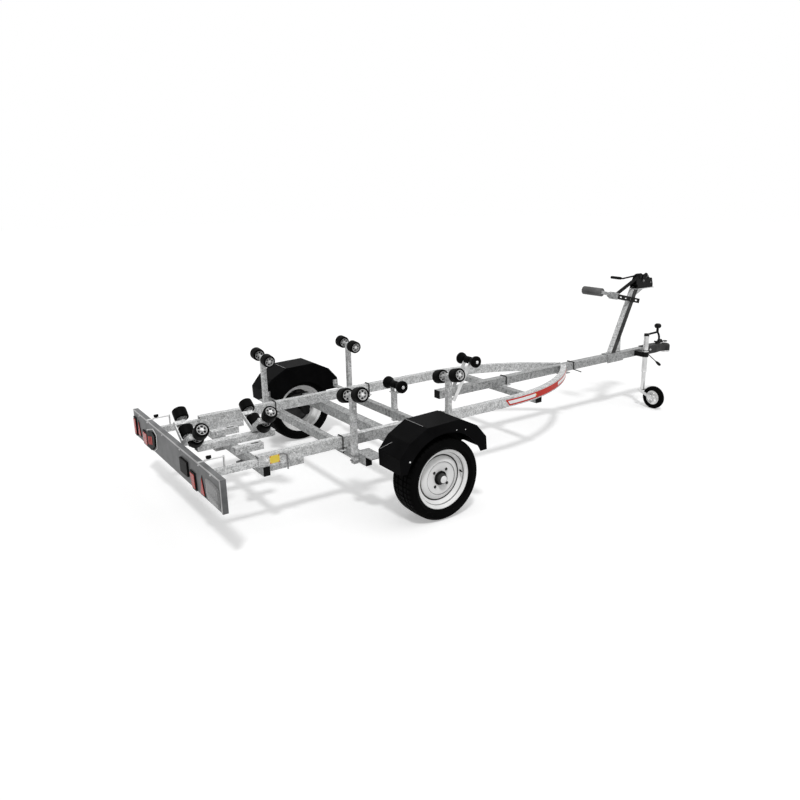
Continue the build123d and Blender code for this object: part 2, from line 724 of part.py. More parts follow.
brace_low = WPOST_TOP - BRACE_H
brace_lean = post_head - BRACE_H * sin(lean) / cos(lean)
brace_face = Plane.XZ * make_face(Polyline(
    (post_head, WPOST_TOP + SHELF_T / 2), (post_head + BRACE_L, WPOST_TOP + SHELF_T / 2),
    (brace_lean + WPOST_W / 2, brace_low), (brace_lean, brace_low), close=True,
))
brace = Pos(0, PLATE_T / 2, 0) * extrude(brace_face, PLATE_T)
parts["winch_post"] = winch_post + base + (gusset - post_in) + (brace - post_in) + shelf

# Winch: cheeks on a foot plate, drum with its gear, strap and crank with its pinion
cheek_foot = WPOST_TOP + SHELF_T + GAP
cheek_shares = (
    # along the shelf from its rear end, up the cheek
    (0.0, 0.0), (1.0, 0.0), (1.0, 0.60), (0.72, 0.72), (0.64, 0.97), (0.47, 0.97), (0.20, 0.74), (0.0, 0.35),
)
shelf_l = SHELF_FRONT - SHELF_REAR
cheek_points = [(SHELF_REAR + x * shelf_l, cheek_foot + z * CHEEK_H) for x, z in cheek_shares]
cheek_face = Plane.XZ * make_face(Polyline(*cheek_points, close=True))
cheek_out = CHEEK_Y + CHEEK_T
cheeks = block(SHELF_REAR, SHELF_FRONT, -cheek_out, cheek_out, cheek_foot, cheek_foot + CHEEK_T)
for flip in (-1, 1):
    cheeks += Pos(0, flip * (CHEEK_Y + CHEEK_T / 2) + CHEEK_T / 2, 0) * extrude(cheek_face, CHEEK_T)
hole = CRANK_PIN_R + RUN
cheeks -= rod((DRUM_X, -cheek_out - OVER, WDRUM_Z), (DRUM_X, cheek_out + OVER, WDRUM_Z), hole)
cheeks -= rod((PINION_X, -cheek_out - OVER, PINION_Z), (PINION_X, cheek_out + OVER, PINION_Z), hole)
parts["winch_frame"] = cheeks
axle_reach = cheek_out + PIN_STICK
drum = rod((DRUM_X, -WDRUM_HALF, WDRUM_Z), (DRUM_X, WDRUM_HALF, WDRUM_Z), WDRUM_R)
drum += rod((DRUM_X, -WDRUM_HALF, WDRUM_Z), (DRUM_X, -WDRUM_HALF - FLANGE_T, WDRUM_Z), WDRUM_FLANGE_R)
drum += rod((DRUM_X, WDRUM_HALF, WDRUM_Z), (DRUM_X, WDRUM_HALF + FLANGE_T, WDRUM_Z), WDRUM_FLANGE_R)
gear_y = WDRUM_HALF + FLANGE_T
axle_gap = sqrt((PINION_X - DRUM_X) ** 2 + (PINION_Z - WDRUM_Z) ** 2)
gear_r = axle_gap * GEAR_RATIO / (GEAR_RATIO + 1) - GAP
pinion_r = axle_gap / (GEAR_RATIO + 1) - GAP
drum += rod((DRUM_X, gear_y - OVER, WDRUM_Z), (DRUM_X, gear_y + GEAR_T, WDRUM_Z), gear_r)
drum += rod((DRUM_X, -axle_reach, WDRUM_Z), (DRUM_X, axle_reach, WDRUM_Z), CRANK_PIN_R)
parts["winch_drum"] = drum
crank_y = cheek_out + CRANK_OUT
crank_end = (PINION_X - CRANK_L, crank_y, PINION_Z - CRANK_FALL)
crank = rod((PINION_X, -axle_reach, PINION_Z), (PINION_X, crank_y + CRANK_BOSS_R, PINION_Z), CRANK_PIN_R)
crank += rod((PINION_X, gear_y, PINION_Z), (PINION_X, gear_y + GEAR_T, PINION_Z), pinion_r)
boss_in, boss_out = crank_y - CRANK_BAR_R, crank_y + CRANK_BOSS_R
crank += rod((PINION_X, boss_in, PINION_Z), (PINION_X, boss_out, PINION_Z), CRANK_BOSS_R)
crank += rod((PINION_X, crank_y, PINION_Z), crank_end, CRANK_BAR_R)
end_x, end_y, end_z = crank_end
grip_in, grip_out = end_y + CRANK_GRIP_L / 6, end_y + CRANK_GRIP_L
crank += rod(crank_end, (end_x, grip_in + OVER, end_z), CRANK_BAR_R)
crank += rod((end_x, grip_in, end_z), (end_x, grip_out, end_z), CRANK_GRIP_R)
parts["winch_crank"] = crank

# Bow stop: slotted bracket, yoke and roller
rise = radians(BOW_RISE)


def along(distance, lift):
    x = BOW_FRONT - distance * cos(rise) + lift * sin(rise)
    return (x, BOW_Z_FRONT + distance * sin(rise) + lift * cos(rise))


bow_in = WPOST_W / 2 + GAP
bow_out = bow_in + BOW_T
bow_plane = Plane(origin=(BOW_FRONT, 0, BOW_Z_FRONT), z_dir=(0, 1, 0), x_dir=(-cos(rise), 0, sin(rise)))


def bow_box(low, high, w_half, h):
    return bow_plane * (Pos((low + high) / 2, 0, 0) * Box(high - low, h, 2 * w_half))


bracket = bow_box(0, BOW_LEN, bow_out, BOW_H) - bow_box(-BOW_H, BOW_LEN - BOW_WEB, bow_in, 2 * BOW_H)
slot_shares = (0.16, 0.40, 0.64, 0.88)
for slot_share in slot_shares:
    middle = BOW_LEN * slot_share
    bracket -= bow_box(middle - SLOT_L / 2, middle + SLOT_L / 2, 2 * bow_out, SLOT_H)
parts["bow_bracket"] = bracket
yoke_half = BOW_ROLLER_L / 2 + PIN_STICK
yoke_out = yoke_half + BOW_T
yoke_back = YOKE_L - BOW_ROLLER_R - YOKE_CLEAR
block_end = bow_plane * Plane(origin=(BOW_LEN + GAP, 0, 0), z_dir=(1, 0, 0))
yoke = bow_box(BOW_LEN + GAP, BOW_LEN + YOKE_BLOCK, bow_in, YOKE_BLOCK)
yoke += block_end * Cylinder(YOKE_NUT_R, YOKE_BLOCK + YOKE_NUT_L, align=FOOT)
yoke += block_end * Cylinder(YOKE_BAR_R, yoke_back, align=FOOT)
for flip in (-1, 1):
    low, high = BOW_LEN + yoke_back - BOW_T, BOW_LEN + YOKE_L + YOKE_ARM_H / 2
    arm = Pos((low + high) / 2, 0, flip * (yoke_half + BOW_T / 2)) * Box(high - low, YOKE_ARM_H, BOW_T)
    yoke += bow_plane * arm
yoke += bow_box(BOW_LEN + yoke_back - BOW_T, BOW_LEN + yoke_back, yoke_out, YOKE_ARM_H)
bow_roller_x, bow_roller_z = along(BOW_LEN + YOKE_L, 0)
yoke += rod((bow_roller_x, -yoke_out, bow_roller_z), (bow_roller_x, yoke_out, bow_roller_z), CRANK_PIN_R)
parts["bow_yoke"] = yoke
half = BOW_ROLLER_L / 2
bow_bore = CRANK_PIN_R + RUN
bow_edge = BOW_ROLLER_R - BOW_BEVEL
parts["bow_roller"] = Pos(bow_roller_x, 0, bow_roller_z) * ring([
    (-half, bow_bore), (-half, bow_edge), (-half + BOW_BEVEL, BOW_ROLLER_R),
    (half - BOW_BEVEL, BOW_ROLLER_R), (half, bow_edge), (half, bow_bore),
])

# Strap from the drum to the bow bracket
hook_x, hook_z = along(BOW_LEN - STRAP_LAP, BOW_H / 2 + GAP)
strap_b = Vector(hook_x, 0, hook_z + STRAP_T / 2)
strap_turn = WDRUM_R + GAP + STRAP_T / 2
fall = Vector(strap_b.X - DRUM_X, 0, strap_b.Z - WDRUM_Z)
touch = atan2(fall.Z, fall.X) - acos(strap_turn / fall.length)
strap_a = Vector(DRUM_X + strap_turn * cos(touch), 0, WDRUM_Z + strap_turn * sin(touch))
run = (strap_b - strap_a).length
strap_plane = Plane(origin=strap_a, x_dir=strap_b - strap_a, z_dir=Vector(0, 1, 0))
parts["winch_strap"] = strap_plane * (Pos(run / 2, 0, 0) * Box(run, STRAP_T, STRAP_W))

# Coupling head: a pressed neck over the drawbar and a round dome with a ball socket open below
neck_top = DRAW_TOP + PLATE_T
neck_low = DOME_LOW + NECK_RISE
neck_plan_shares = (
    # along the head from its rear end to the ball, half width in dome radii
    (0.0, 0.80), (0.50, 0.80), (0.74, 0.56), (0.90, 0.70), (1.0, 0.86),
)
neck_plan = [(HEAD_REAR + x * (BALL_X - HEAD_REAR), y * DOME_R) for x, y in neck_plan_shares]
neck_plan += [(x, -y) for x, y in reversed(neck_plan)]
neck = Pos(0, 0, neck_low) * extrude(make_face(Polyline(*neck_plan, close=True)), neck_top - neck_low)
slope_top = Plane.XZ * make_face(Polyline(
    (BALL_X - 2 * DOME_R, neck_top), (BALL_X + DOME_R, neck_top), (BALL_X + DOME_R, DOME_TOP - DOME_STEP),
    (BALL_X - DOME_R, DOME_TOP - DOME_STEP), close=True,
))
neck -= Pos(0, DRAW_W, 0) * extrude(slope_top, 2 * DRAW_W)
neck -= block(
    HEAD_REAR - OVER, DRAW_FRONT + GAP, -DRAW_W / 2 - GAP, DRAW_W / 2 + GAP, neck_low - OVER, DRAW_TOP + GAP
)
dome = Pos(BALL_X, 0, 0) * turned([
    (0, DOME_LOW), (DOME_R, DOME_LOW), (DOME_R, DOME_TOP - 3 * DOME_STEP),
    (DOME_R * 0.86, DOME_TOP - DOME_STEP), (DOME_R * 0.5, DOME_TOP), (0, DOME_TOP),
])
head = neck + dome
socket_z = DOME_LOW + SOCKET_RISE
head -= Pos(BALL_X, 0, socket_z) * Sphere(BALL_R)
head -= rod((BALL_X, 0, DOME_LOW - OVER), (BALL_X, 0, socket_z), BALL_R)
parts["coupling_head"] = head
handle_shares = (
    # back from the ball by the handle's length, up by its height
    (-0.10, 0.0), (0.78, 0.0), (1.0, 0.45), (0.96, 0.75), (0.74, 0.42),
    (0.62, 0.95), (0.46, 1.0), (0.38, 0.45), (-0.10, 0.30),
)
handle_z = neck_top + GAP
handle_points = [(BALL_X - x * HANDLE_L, handle_z + z * HANDLE_H) for x, z in handle_shares]
handle_face = Plane.XZ * make_face(Polyline(*handle_points, close=True))
parts["coupling_handle"] = Pos(0, HANDLE_W / 2, 0) * extrude(handle_face, HANDLE_W)

# Jockey wheel clamp and lever
clamp_z0 = RAIL_BOTTOM + CLAMP_FOOT
clamp_z1 = DRAW_TOP - CLAMP_FOOT
clamp_r = LEG_OUT_R + CLAMP_WALL
clamp = rod((LEG_X, LEG_Y, clamp_z0), (LEG_X, LEG_Y, clamp_z1), clamp_r)
clamp += block(LEG_X - CLAMP_W / 2, LEG_X + CLAMP_W / 2, LEG_Y, -DRAW_W / 2 - GAP, clamp_z0, clamp_z1)
clamp -= rod((LEG_X, LEG_Y, clamp_z0 - OVER), (LEG_X, LEG_Y, clamp_z1 + OVER), LEG_OUT_R + GAP)
parts["jockey_clamp"] = clamp
clamp_front = LEG_X + CLAMP_W / 2
lever_y = LEG_Y + CLAMP_W / 4
lever_z = (clamp_z0 + clamp_z1) / 2
lever_a = Vector(clamp_front + LEVER_BOSS_L - LEVER_R, lever_y, lever_z)
lever_b = lever_a + Vector(LEVER_FORTH, -LEVER_OUT, -LEVER_FALL)
boss_front = clamp_front + LEVER_BOSS_L
lever = rod((clamp_front + GAP, lever_y, lever_z), (boss_front, lever_y, lever_z), LEVER_BOSS_R)
lever += rod(lever_a, lever_b, LEVER_R)
grip_shares = ((0.0, 0.0), (0.40, 0.0), (0.85, 0.3), (1.0, 0.6), (0.80, 0.9), (0.0, 1.0))
lever_grip = turned([(r * GRIP_R, z * GRIP_L) for r, z in grip_shares])
lever_way = (lever_b - lever_a).normalized()
lever += Plane(origin=lever_b - lever_way * GRIP_L / 4, z_dir=lever_way) * lever_grip
parts["jockey_lever"] = lever

# Jockey wheel leg
leg_bore = LEG_IN_R + RUN
outer_leg = rod((LEG_X, LEG_Y, LEG_OUT_LOW), (LEG_X, LEG_Y, LEG_OUT_TOP), LEG_OUT_R)
outer_leg -= rod((LEG_X, LEG_Y, LEG_OUT_LOW - OVER), (LEG_X, LEG_Y, LEG_OUT_TOP - LEG_CAP_T), leg_bore)
cap_z = LEG_OUT_TOP - LEG_CAP_T
outer_leg -= rod((LEG_X, LEG_Y, cap_z - OVER), (LEG_X, LEG_Y, LEG_OUT_TOP + OVER), SCREW_R + RUN)
parts["jockey_outer_tube"] = outer_leg
inner_leg = rod((LEG_X, LEG_Y, LEG_IN_LOW), (LEG_X, LEG_Y, LEG_IN_TOP), LEG_IN_R)
bore_low, bore_high = LEG_IN_LOW + LEG_IN_R, LEG_IN_TOP + OVER
inner_leg -= rod((LEG_X, LEG_Y, bore_low), (LEG_X, LEG_Y, bore_high), LEG_IN_R - LEG_IN_WALL)
parts["jockey_inner_tube"] = inner_leg

# Top crank of the jockey wheel: arm, mushroom knob and curved limb
arm_z = LEG_OUT_TOP + JARM_RISE
jcrank = rod((LEG_X, LEG_Y, LEG_OUT_TOP - LEG_CAP_T / 2), (LEG_X, LEG_Y, arm_z), SCREW_R)
jcrank += rod((LEG_X, LEG_Y, LEG_OUT_TOP + GAP), (LEG_X, LEG_Y, arm_z + JARM_R), LEG_OUT_R)
jarm_end = Vector(LEG_X + JARM_L, LEG_Y, arm_z + JARM_R / 2)
jcrank += rod((LEG_X, LEG_Y, arm_z), jarm_end, JARM_R)
knob_shares = (
    (0.0, 0.0), (0.40, 0.0), (0.34, 0.42), (0.75, 0.50), (1.0, 0.66), (0.96, 0.84), (0.60, 0.97), (0.0, 1.0),
)
jcrank += Pos(*jarm_end) * turned([(r * JKNOB_R, z * JKNOB_H) for r, z in knob_shares])
limb_mid = jarm_end + Vector(JLIMB_OUT, 0, -JLIMB_L / 2)
limb_end = jarm_end + Vector(JLIMB_OUT * 0.8, 0, -JLIMB_L)
limb_path = ThreePointArc(jarm_end, limb_mid, limb_end)
jcrank += sweep(Plane(origin=limb_path @ 0, z_dir=limb_path % 0) * Circle(JLIMB_R), path=limb_path)
parts["jockey_crank"] = jcrank

# Castor fork and wheel, turned about the leg
tip_sin = sin(radians(NOSE_UP))
tip_cos = cos(radians(NOSE_UP))
wheel_x = LEG_X + CASTOR_OFF * cos(radians(CASTOR_YAW))
reach_down = JOCKEY_R * tip_cos + JOCKEY_W / 4 * tip_sin
wheel_z = TYRE_R + (reach_down - TYRE_R - wheel_x * tip_sin) / tip_cos
spin = Pos(LEG_X, LEG_Y, 0) * Rot(0, 0, CASTOR_YAW)
fork_half = JOCKEY_W / 2 + FORK_CLEAR
fork_out = fork_half + FORK_T
crown_z = LEG_IN_LOW - CROWN_T
fork = rod((0, 0, crown_z), (0, 0, LEG_IN_LOW - GAP), LEG_IN_R + FORK_CLEAR)
fork += block(-CROWN_REAR, CROWN_FRONT, -fork_out, fork_out, crown_z, LEG_IN_LOW - FORK_CLEAR)
fork_h = crown_z - wheel_z + CROWN_T / 2
fork_shares = (
    # out from the leg towards the wheel's axle, up from the axle towards the crown
    (-0.19, 1.0), (0.17, 1.0), (0.62, 0.55), (1.13, 0.16),
    (1.10, -0.22), (0.97, -0.36), (0.62, 0.02), (-0.19, 0.72),
)
fork_points = [(x * CASTOR_OFF, wheel_z + z * fork_h) for x, z in fork_shares]
fork_face = Plane.XZ * make_face(Polyline(*fork_points, close=True))
for flip in (-1, 1):
    fork += Pos(0, flip * (fork_half + FORK_T / 2) + FORK_T / 2, 0) * extrude(fork_face, FORK_T)
pin_half = fork_out + PIN_STICK
jpin = rod((CASTOR_OFF, -pin_half, wheel_z), (CASTOR_OFF, pin_half, wheel_z), JOCKEY_PIN_R)
parts["jockey_fork"] = spin * (fork + jpin)
half = JOCKEY_W / 2
crown_shares = ((0.62, 0.0), (0.95, 0.37), (0.90, 0.79), (0.50, 1.0))
jtyre_in = JOCKEY_RIM_R + GAP
jtyre_points = [(-y * half, jtyre_in + r * (JOCKEY_R - jtyre_in)) for y, r in crown_shares]
jtyre = ring(jtyre_points + [(-y, r) for y, r in reversed(jtyre_points)])
jrim_in = JOCKEY_RIM_R - JRIM_T
jrim_bore = JOCKEY_PIN_R + RUN
jrim_points = [
    (-half * 0.7, jrim_in), (-half * 0.7, JOCKEY_RIM_R), (half * 0.7, JOCKEY_RIM_R), (half * 0.7, jrim_in),
    (JRIM_T / 2, jrim_in - JRIM_T), (JRIM_T / 2, JHUB_R), (half * 0.9, JHUB_R), (half * 0.9, jrim_bore),
    (-half * 0.9, jrim_bore), (-half * 0.9, JHUB_R), (-JRIM_T / 2, JHUB_R), (-JRIM_T / 2, jrim_in - JRIM_T),
]
jrim = ring(jrim_points)
slot_r = (JHUB_R + jrim_in - JRIM_T) / 2
for k in range(JRIM_HOLES):
    turn_hole = Rot(0, k * 360 / JRIM_HOLES, 0)
    jrim -= turn_hole * rod((0, -half, slot_r), (0, half, slot_r), JRIM_HOLE_R)
parts["jockey_tyre"] = spin * (Pos(CASTOR_OFF, 0, wheel_z) * jtyre)
parts["jockey_rim"] = spin * (Pos(CASTOR_OFF, 0, wheel_z) * jrim)

# Saddles that carry the rear cross tube under the rails' rear ends
saddle_rear = REAR_X - CROSS_W / 2
saddle_front = saddle_rear + SADDLE_L
beyond = REAR_X + CROSS_W / 2 + GAP
rail_in = RAIL_OUT - RAIL_W
saddle_low = SEAT - CROSS_H
saddle = block(saddle_rear, saddle_front, RAIL_OUT + GAP, RAIL_OUT + SADDLE_T, RAIL_BOTTOM, RAIL_TOP)
saddle += block(beyond, saddle_front, RAIL_OUT + GAP, RAIL_OUT + SADDLE_T, SEAT - SADDLE_T, RAIL_TOP)
saddle += block(beyond, saddle_front, rail_in, RAIL_OUT + SADDLE_T, SEAT - SADDLE_T, SEAT)
saddle += block(beyond, saddle_front + SADDLE_TAIL, rail_in, rail_in + SADDLE_T, saddle_low, SEAT)
parts["rail_saddles"] = group(saddle, mirrored(saddle))

# Channel brackets on the rear cross tube, with rubber pads under them
channel_x = REAR_X + CHANNEL_SHIFT
channel = block(
    channel_x - CHANNEL_L / 2, channel_x + CHANNEL_L / 2,
    CHANNEL_Y - CHANNEL_W / 2, CHANNEL_Y + CHANNEL_W / 2, RAIL_BOTTOM, RAIL_BOTTOM + CHANNEL_H,
)
channel -= block(
    channel_x - CHANNEL_L, channel_x + CHANNEL_L, CHANNEL_Y - CHANNEL_W / 2 + SADDLE_T,
    CHANNEL_Y + CHANNEL_W / 2 - SADDLE_T, RAIL_BOTTOM - OVER, RAIL_BOTTOM + CHANNEL_H - SADDLE_T,
)
hole_x = channel_x - CHANNEL_L * 0.36
hole_z = RAIL_BOTTOM + CHANNEL_H / 2
channel -= rod((hole_x, 0, hole_z), (hole_x, CHANNEL_Y * 2, hole_z), CHANNEL_HOLE_R)
parts["channel_brackets"] = group(channel, mirrored(channel))
pad = block(
    REAR_X - CHANNEL_W, REAR_X + CHANNEL_W, CHANNEL_Y - CHANNEL_W / 2, CHANNEL_Y + CHANNEL_W / 2,
    SEAT - CROSS_H - GAP - PAD_H, SEAT - CROSS_H - GAP,
)
parts["clamp_pads"] = group(pad, mirrored(pad))

# Plate under the joint of rails and drawbar
junction_half = DRAW_W / 2 + RAIL_W
junction_x = rail_tip - JUNCTION_BACK
parts["junction_plate"] = block(
    junction_x, junction_x + JUNCTION_L, -junction_half, junction_half, SEAT - PLATE_T, SEAT
)

# Bent wire catch over the drawbar
wire_x = rail_tip + WIRE_AHEAD
wire_side = DRAW_W / 2 + GAP + WIRE_R
wire_top = DRAW_TOP + GAP + WIRE_R
wire = rod((wire_x, -wire_side, RAIL_BOTTOM), (wire_x, -wire_side, wire_top), WIRE_R)
wire += rod((wire_x, -wire_side - WIRE_R, wire_top), (wire_x, wire_side + WIRE_R, wire_top), WIRE_R)
wire += rod((wire_x, wire_side, wire_top), (wire_x, wire_side, RAIL_BOTTOM - WIRE_R * 2), WIRE_R)
tail_end = (wire_x + WIRE_TAIL, -wire_side, RAIL_BOTTOM - WIRE_DROP)
wire += rod((wire_x, -wire_side, RAIL_BOTTOM + WIRE_R), tail_end, WIRE_R)
parts["wire_catch"] = wire

# Light board with folded flanges and end plates
front = BOARD_X + BOARD_D
board = block(BOARD_X, BOARD_X + BOARD_T, -BOARD_HALF, BOARD_HALF, BOARD_LOW, BOARD_TOP)
board += block(BOARD_X, front, -BOARD_HALF, BOARD_HALF, BOARD_TOP - BOARD_T, BOARD_TOP)
for flip in (-1, 1):
    y0, y1 = sorted((flip * (BOARD_HALF - BOARD_T), flip * BOARD_HALF))
    board += block(BOARD_X, front, y0, y1, BOARD_END_LOW, BOARD_TOP)
parts["light_board"] = board
barm_z = RAIL_BOTTOM + RAIL_WALL + GAP + BARM_H / 2
arms = []
for flip in (-1, 1):
    y = flip * RAIL_Y
    arm = tube_x(front - BARM_LAP, BARM_FRONT, y, barm_z, BARM_W, BARM_H, BARM_WALL)
    arm += block(
        BOARD_X + BOARD_T + GAP, front - BARM_LAP,
        y - BARM_PLATE, y + BARM_PLATE, barm_z - BARM_PLATE, barm_z + BARM_PLATE,
    )
    arms.append(arm)
parts["board_arms"] = group(*arms)
rods = []
knobs = []
rod_z = BOARD_TOP + ROD_R
rod_end = front + ROD_REACH
knob_x = front + KNOB_REACH
for flip in (-1, 1):
    y = flip * RAIL_Y
    bar = rod((front + ROD_R, y, rod_z), (rod_end, y, rod_z), ROD_R)
    bar += rod((rod_end, y, rod_z + ROD_R), (rod_end, y, barm_z + BARM_H / 2 + GAP), ROD_R)
    clip_z = BOARD_TOP + GAP
    bar += block(BOARD_X, front + ROD_R * 2, y - ROD_R * 2, y + ROD_R * 2, clip_z, clip_z + BOARD_T)
    rods.append(bar)
    knob = rod((knob_x, y, rod_z + ROD_R + GAP), (knob_x, y, rod_z + KNOB_H / 2), KNOB_R)
    wing_rear, wing_front = knob_x - KNOB_W / 2, knob_x + KNOB_W / 2
    knob += block(wing_rear, wing_front, y - ROD_R, y + ROD_R, rod_z + KNOB_H / 3, rod_z + KNOB_H)
    knobs.append(knob)
parts["board_rods"] = group(*rods)
parts["board_knobs"] = group(*knobs)

# Lamps on the board's rear face.
# Corners are shares of its half length and, from its lower edge, of its height.
red_lamp_shares = (
    ((-0.53, 0.0), (-0.455, 0.0), (-0.42, 0.56), (-0.52, 0.56)),
    ((0.92, 0.06), (0.985, 0.06), (0.985, 0.76), (0.92, 0.76)),
    ((0.61, 0.0), (0.735, 0.0), (0.735, 0.52), (0.61, 0.52)),
)
reflector_shares = (
    ((-0.695, 0.03), (-0.60, 0.03), (-0.6475, 0.68)),
    ((0.815, 0.12), (0.90, 0.12), (0.8575, 0.74)),
)
clear_lamp_shares = ((-0.71, 0.08), (-0.82, 0.0), (-0.90, 0.03), (-0.975, 0.2), (-0.975, 0.72), (-0.71, 0.72))
lamp_block_shares = (
    ((-0.375, 0.25), (-0.22, 0.25), (-0.22, 0.72), (-0.375, 0.72)),
    ((0.40, 0.30), (0.50, 0.03), (0.60, 0.03), (0.60, 0.60), (0.44, 0.76), (0.385, 0.66)),
)
lamp_back = BOARD_X - GAP


def lamp(thickness, corners):
    points = [(y * BOARD_HALF, BOARD_LOW + z * (BOARD_TOP - BOARD_LOW)) for y, z in corners]
    face = Plane.YZ * make_face(Polyline(*points, close=True))
    return Pos(lamp_back - thickness, 0, 0) * extrude(face, thickness)


red_lamps = [lamp(LAMP_T, corners) for corners in red_lamp_shares]
reflectors = [lamp(LAMP_T / 2, corners) for corners in reflector_shares]
parts["lamps_red"] = group(*red_lamps, *reflectors)
parts["lamps_clear"] = lamp(LAMP_T, clear_lamp_shares)
parts["lamp_blocks"] = group(*[lamp(LAMP_T, corners) for corners in lamp_block_shares])
parts["tube_caps"] = group(*caps)

# Tip nose up about the axle, move along X and write every node
top_share = max(z for corners in red_lamp_shares + lamp_block_shares for y, z in corners)
lamp_top = BOARD_LOW + top_share * (BOARD_TOP - BOARD_LOW)
rear_reach = (lamp_back - LAMP_T) * tip_cos - (lamp_top - TYRE_R) * tip_sin
front_reach = (BALL_X + DOME_R) * tip_cos - (DOME_LOW - TYRE_R) * tip_sin
axle_station = -(rear_reach + front_reach) / 2
park = Pos(axle_station, 0, TYRE_R) * Rot(0, -NOSE_UP, 0) * Pos(0, 0, -TYRE_R)
for name, shape in parts.items():
    export_step(park * shape, "parts/" + name + ".step")
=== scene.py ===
import json
from math import sin, cos, pi, radians, atan2, sqrt
import bpy
import bmesh
from mathutils import Matrix, Vector


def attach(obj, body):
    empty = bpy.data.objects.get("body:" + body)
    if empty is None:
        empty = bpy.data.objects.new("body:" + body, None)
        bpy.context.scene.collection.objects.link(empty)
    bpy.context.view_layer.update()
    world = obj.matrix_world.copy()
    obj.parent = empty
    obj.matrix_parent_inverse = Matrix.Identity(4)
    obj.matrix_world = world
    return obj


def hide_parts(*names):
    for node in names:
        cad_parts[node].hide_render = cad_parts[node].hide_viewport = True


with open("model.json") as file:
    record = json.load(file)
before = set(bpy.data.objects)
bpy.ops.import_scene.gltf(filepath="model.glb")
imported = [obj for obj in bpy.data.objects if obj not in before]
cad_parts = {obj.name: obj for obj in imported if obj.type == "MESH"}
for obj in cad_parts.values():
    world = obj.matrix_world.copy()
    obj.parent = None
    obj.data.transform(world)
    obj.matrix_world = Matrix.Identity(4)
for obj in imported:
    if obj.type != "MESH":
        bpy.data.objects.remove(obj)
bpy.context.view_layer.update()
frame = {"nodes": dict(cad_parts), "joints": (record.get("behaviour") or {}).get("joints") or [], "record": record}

MM = 0.001

# The trailer is drawn level: x forward from the road axle, y to the left, z up from the road.
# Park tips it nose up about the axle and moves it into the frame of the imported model.
joint = {j["name"]: j for j in frame["joints"]}
wheel_at = Vector(joint["wheel_left_spin"]["pos_m"])
leg_up = Vector(joint["jockey_leg_slide"]["axis"])
TYRE_R = wheel_at.z
TYRE_Y = wheel_at.y
nose_up = atan2(-leg_up.x, leg_up.z)
park = (
    Matrix.Translation((wheel_at.x, 0, TYRE_R))
    @ Matrix.Rotation(-nose_up, 4, "Y")
    @ Matrix.Translation((0, 0, -TYRE_R))
)


# Material building blocks
COLOR_A, COLOR_B, COLOR_OUT = 6, 7, 2  # the colour sockets of a Mix node


def grey(tone):
    return (tone, tone, tone)


def material(name, color, rough, metallic=0.0):
    mat = bpy.data.materials.new(name)
    mat.use_nodes = True
    shader = mat.node_tree.nodes["Principled BSDF"]
    shader.inputs["Base Color"].default_value = (*color, 1)
    shader.inputs["Roughness"].default_value = rough
    shader.inputs["Metallic"].default_value = metallic
    return mat, mat.node_tree, shader


def texture(tree, kind, scale, **values):
    coords = tree.nodes.new("ShaderNodeTexCoord")
    node = tree.nodes.new(kind)
    node.inputs["Scale"].default_value = scale
    for key, value in values.items():
        node.inputs[key].default_value = value
    tree.links.new(coords.outputs["Object"], node.inputs["Vector"])
    return node


def ramp(tree, source, low, high, low_color, high_color):
    node = tree.nodes.new("ShaderNodeValToRGB")
    node.color_ramp.elements[0].position = low
    node.color_ramp.elements[0].color = (*low_color, 1)
    node.color_ramp.elements[1].position = high
    node.color_ramp.elements[1].color = (*high_color, 1)
    tree.links.new(source, node.inputs["Fac"])
    return node.outputs["Color"]


def remap(tree, source, low, high):
    node = tree.nodes.new("ShaderNodeMapRange")
    node.inputs["To Min"].default_value = low
    node.inputs["To Max"].default_value = high
    tree.links.new(source, node.inputs["Value"])
    return node.outputs["Result"]


def mix(tree, a, b, factor):
    node = tree.nodes.new("ShaderNodeMix")
    node.data_type = "RGBA"
    node.inputs["Factor"].default_value = factor
    tree.links.new(a, node.inputs[COLOR_A])
    tree.links.new(b, node.inputs[COLOR_B])
    return node.outputs[COLOR_OUT]


def bump(tree, shader, source, distance, strength):
    node = tree.nodes.new("ShaderNodeBump")
    node.inputs["Strength"].default_value = strength
    node.inputs["Distance"].default_value = distance
    tree.links.new(source, node.inputs["Height"])
    tree.links.new(node.outputs["Normal"], shader.inputs["Normal"])


# Galvanised steel: zinc spangle mixed with clouds, pale where it is smooth
ZINC_ROUGH, ZINC_SPREAD = 0.5, 0.14


def galvanised(name, light, dark):
    mat, tree, shader = material(name, light, ZINC_ROUGH, 0.25)
    shader.inputs["Specular IOR Level"].default_value = 0.3
    spangle = texture(tree, "ShaderNodeTexVoronoi", 150)
    clouds = texture(tree, "ShaderNodeTexNoise", 42, Detail=8.0, Roughness=0.78)
    fine = texture(tree, "ShaderNodeTexNoise", 240, Detail=3.0)
    cells = ramp(tree, spangle.outputs["Color"], 0.15, 0.75, dark, light)
    cloud = ramp(tree, clouds.outputs["Fac"], 0.38, 0.60, dark, light)
    rough = remap(tree, clouds.outputs["Fac"], ZINC_ROUGH + ZINC_SPREAD, ZINC_ROUGH - ZINC_SPREAD)
    tree.links.new(mix(tree, cells, cloud, 0.5), shader.inputs["Base Color"])
    tree.links.new(rough, shader.inputs["Roughness"])
    bump(tree, shader, fine.outputs["Fac"], 0.0006, 0.35)
    return mat


# Other steel, plastic, rubber and paint share a grain, a slow change of tone and a bump
ROUGH_SPREAD = 0.08


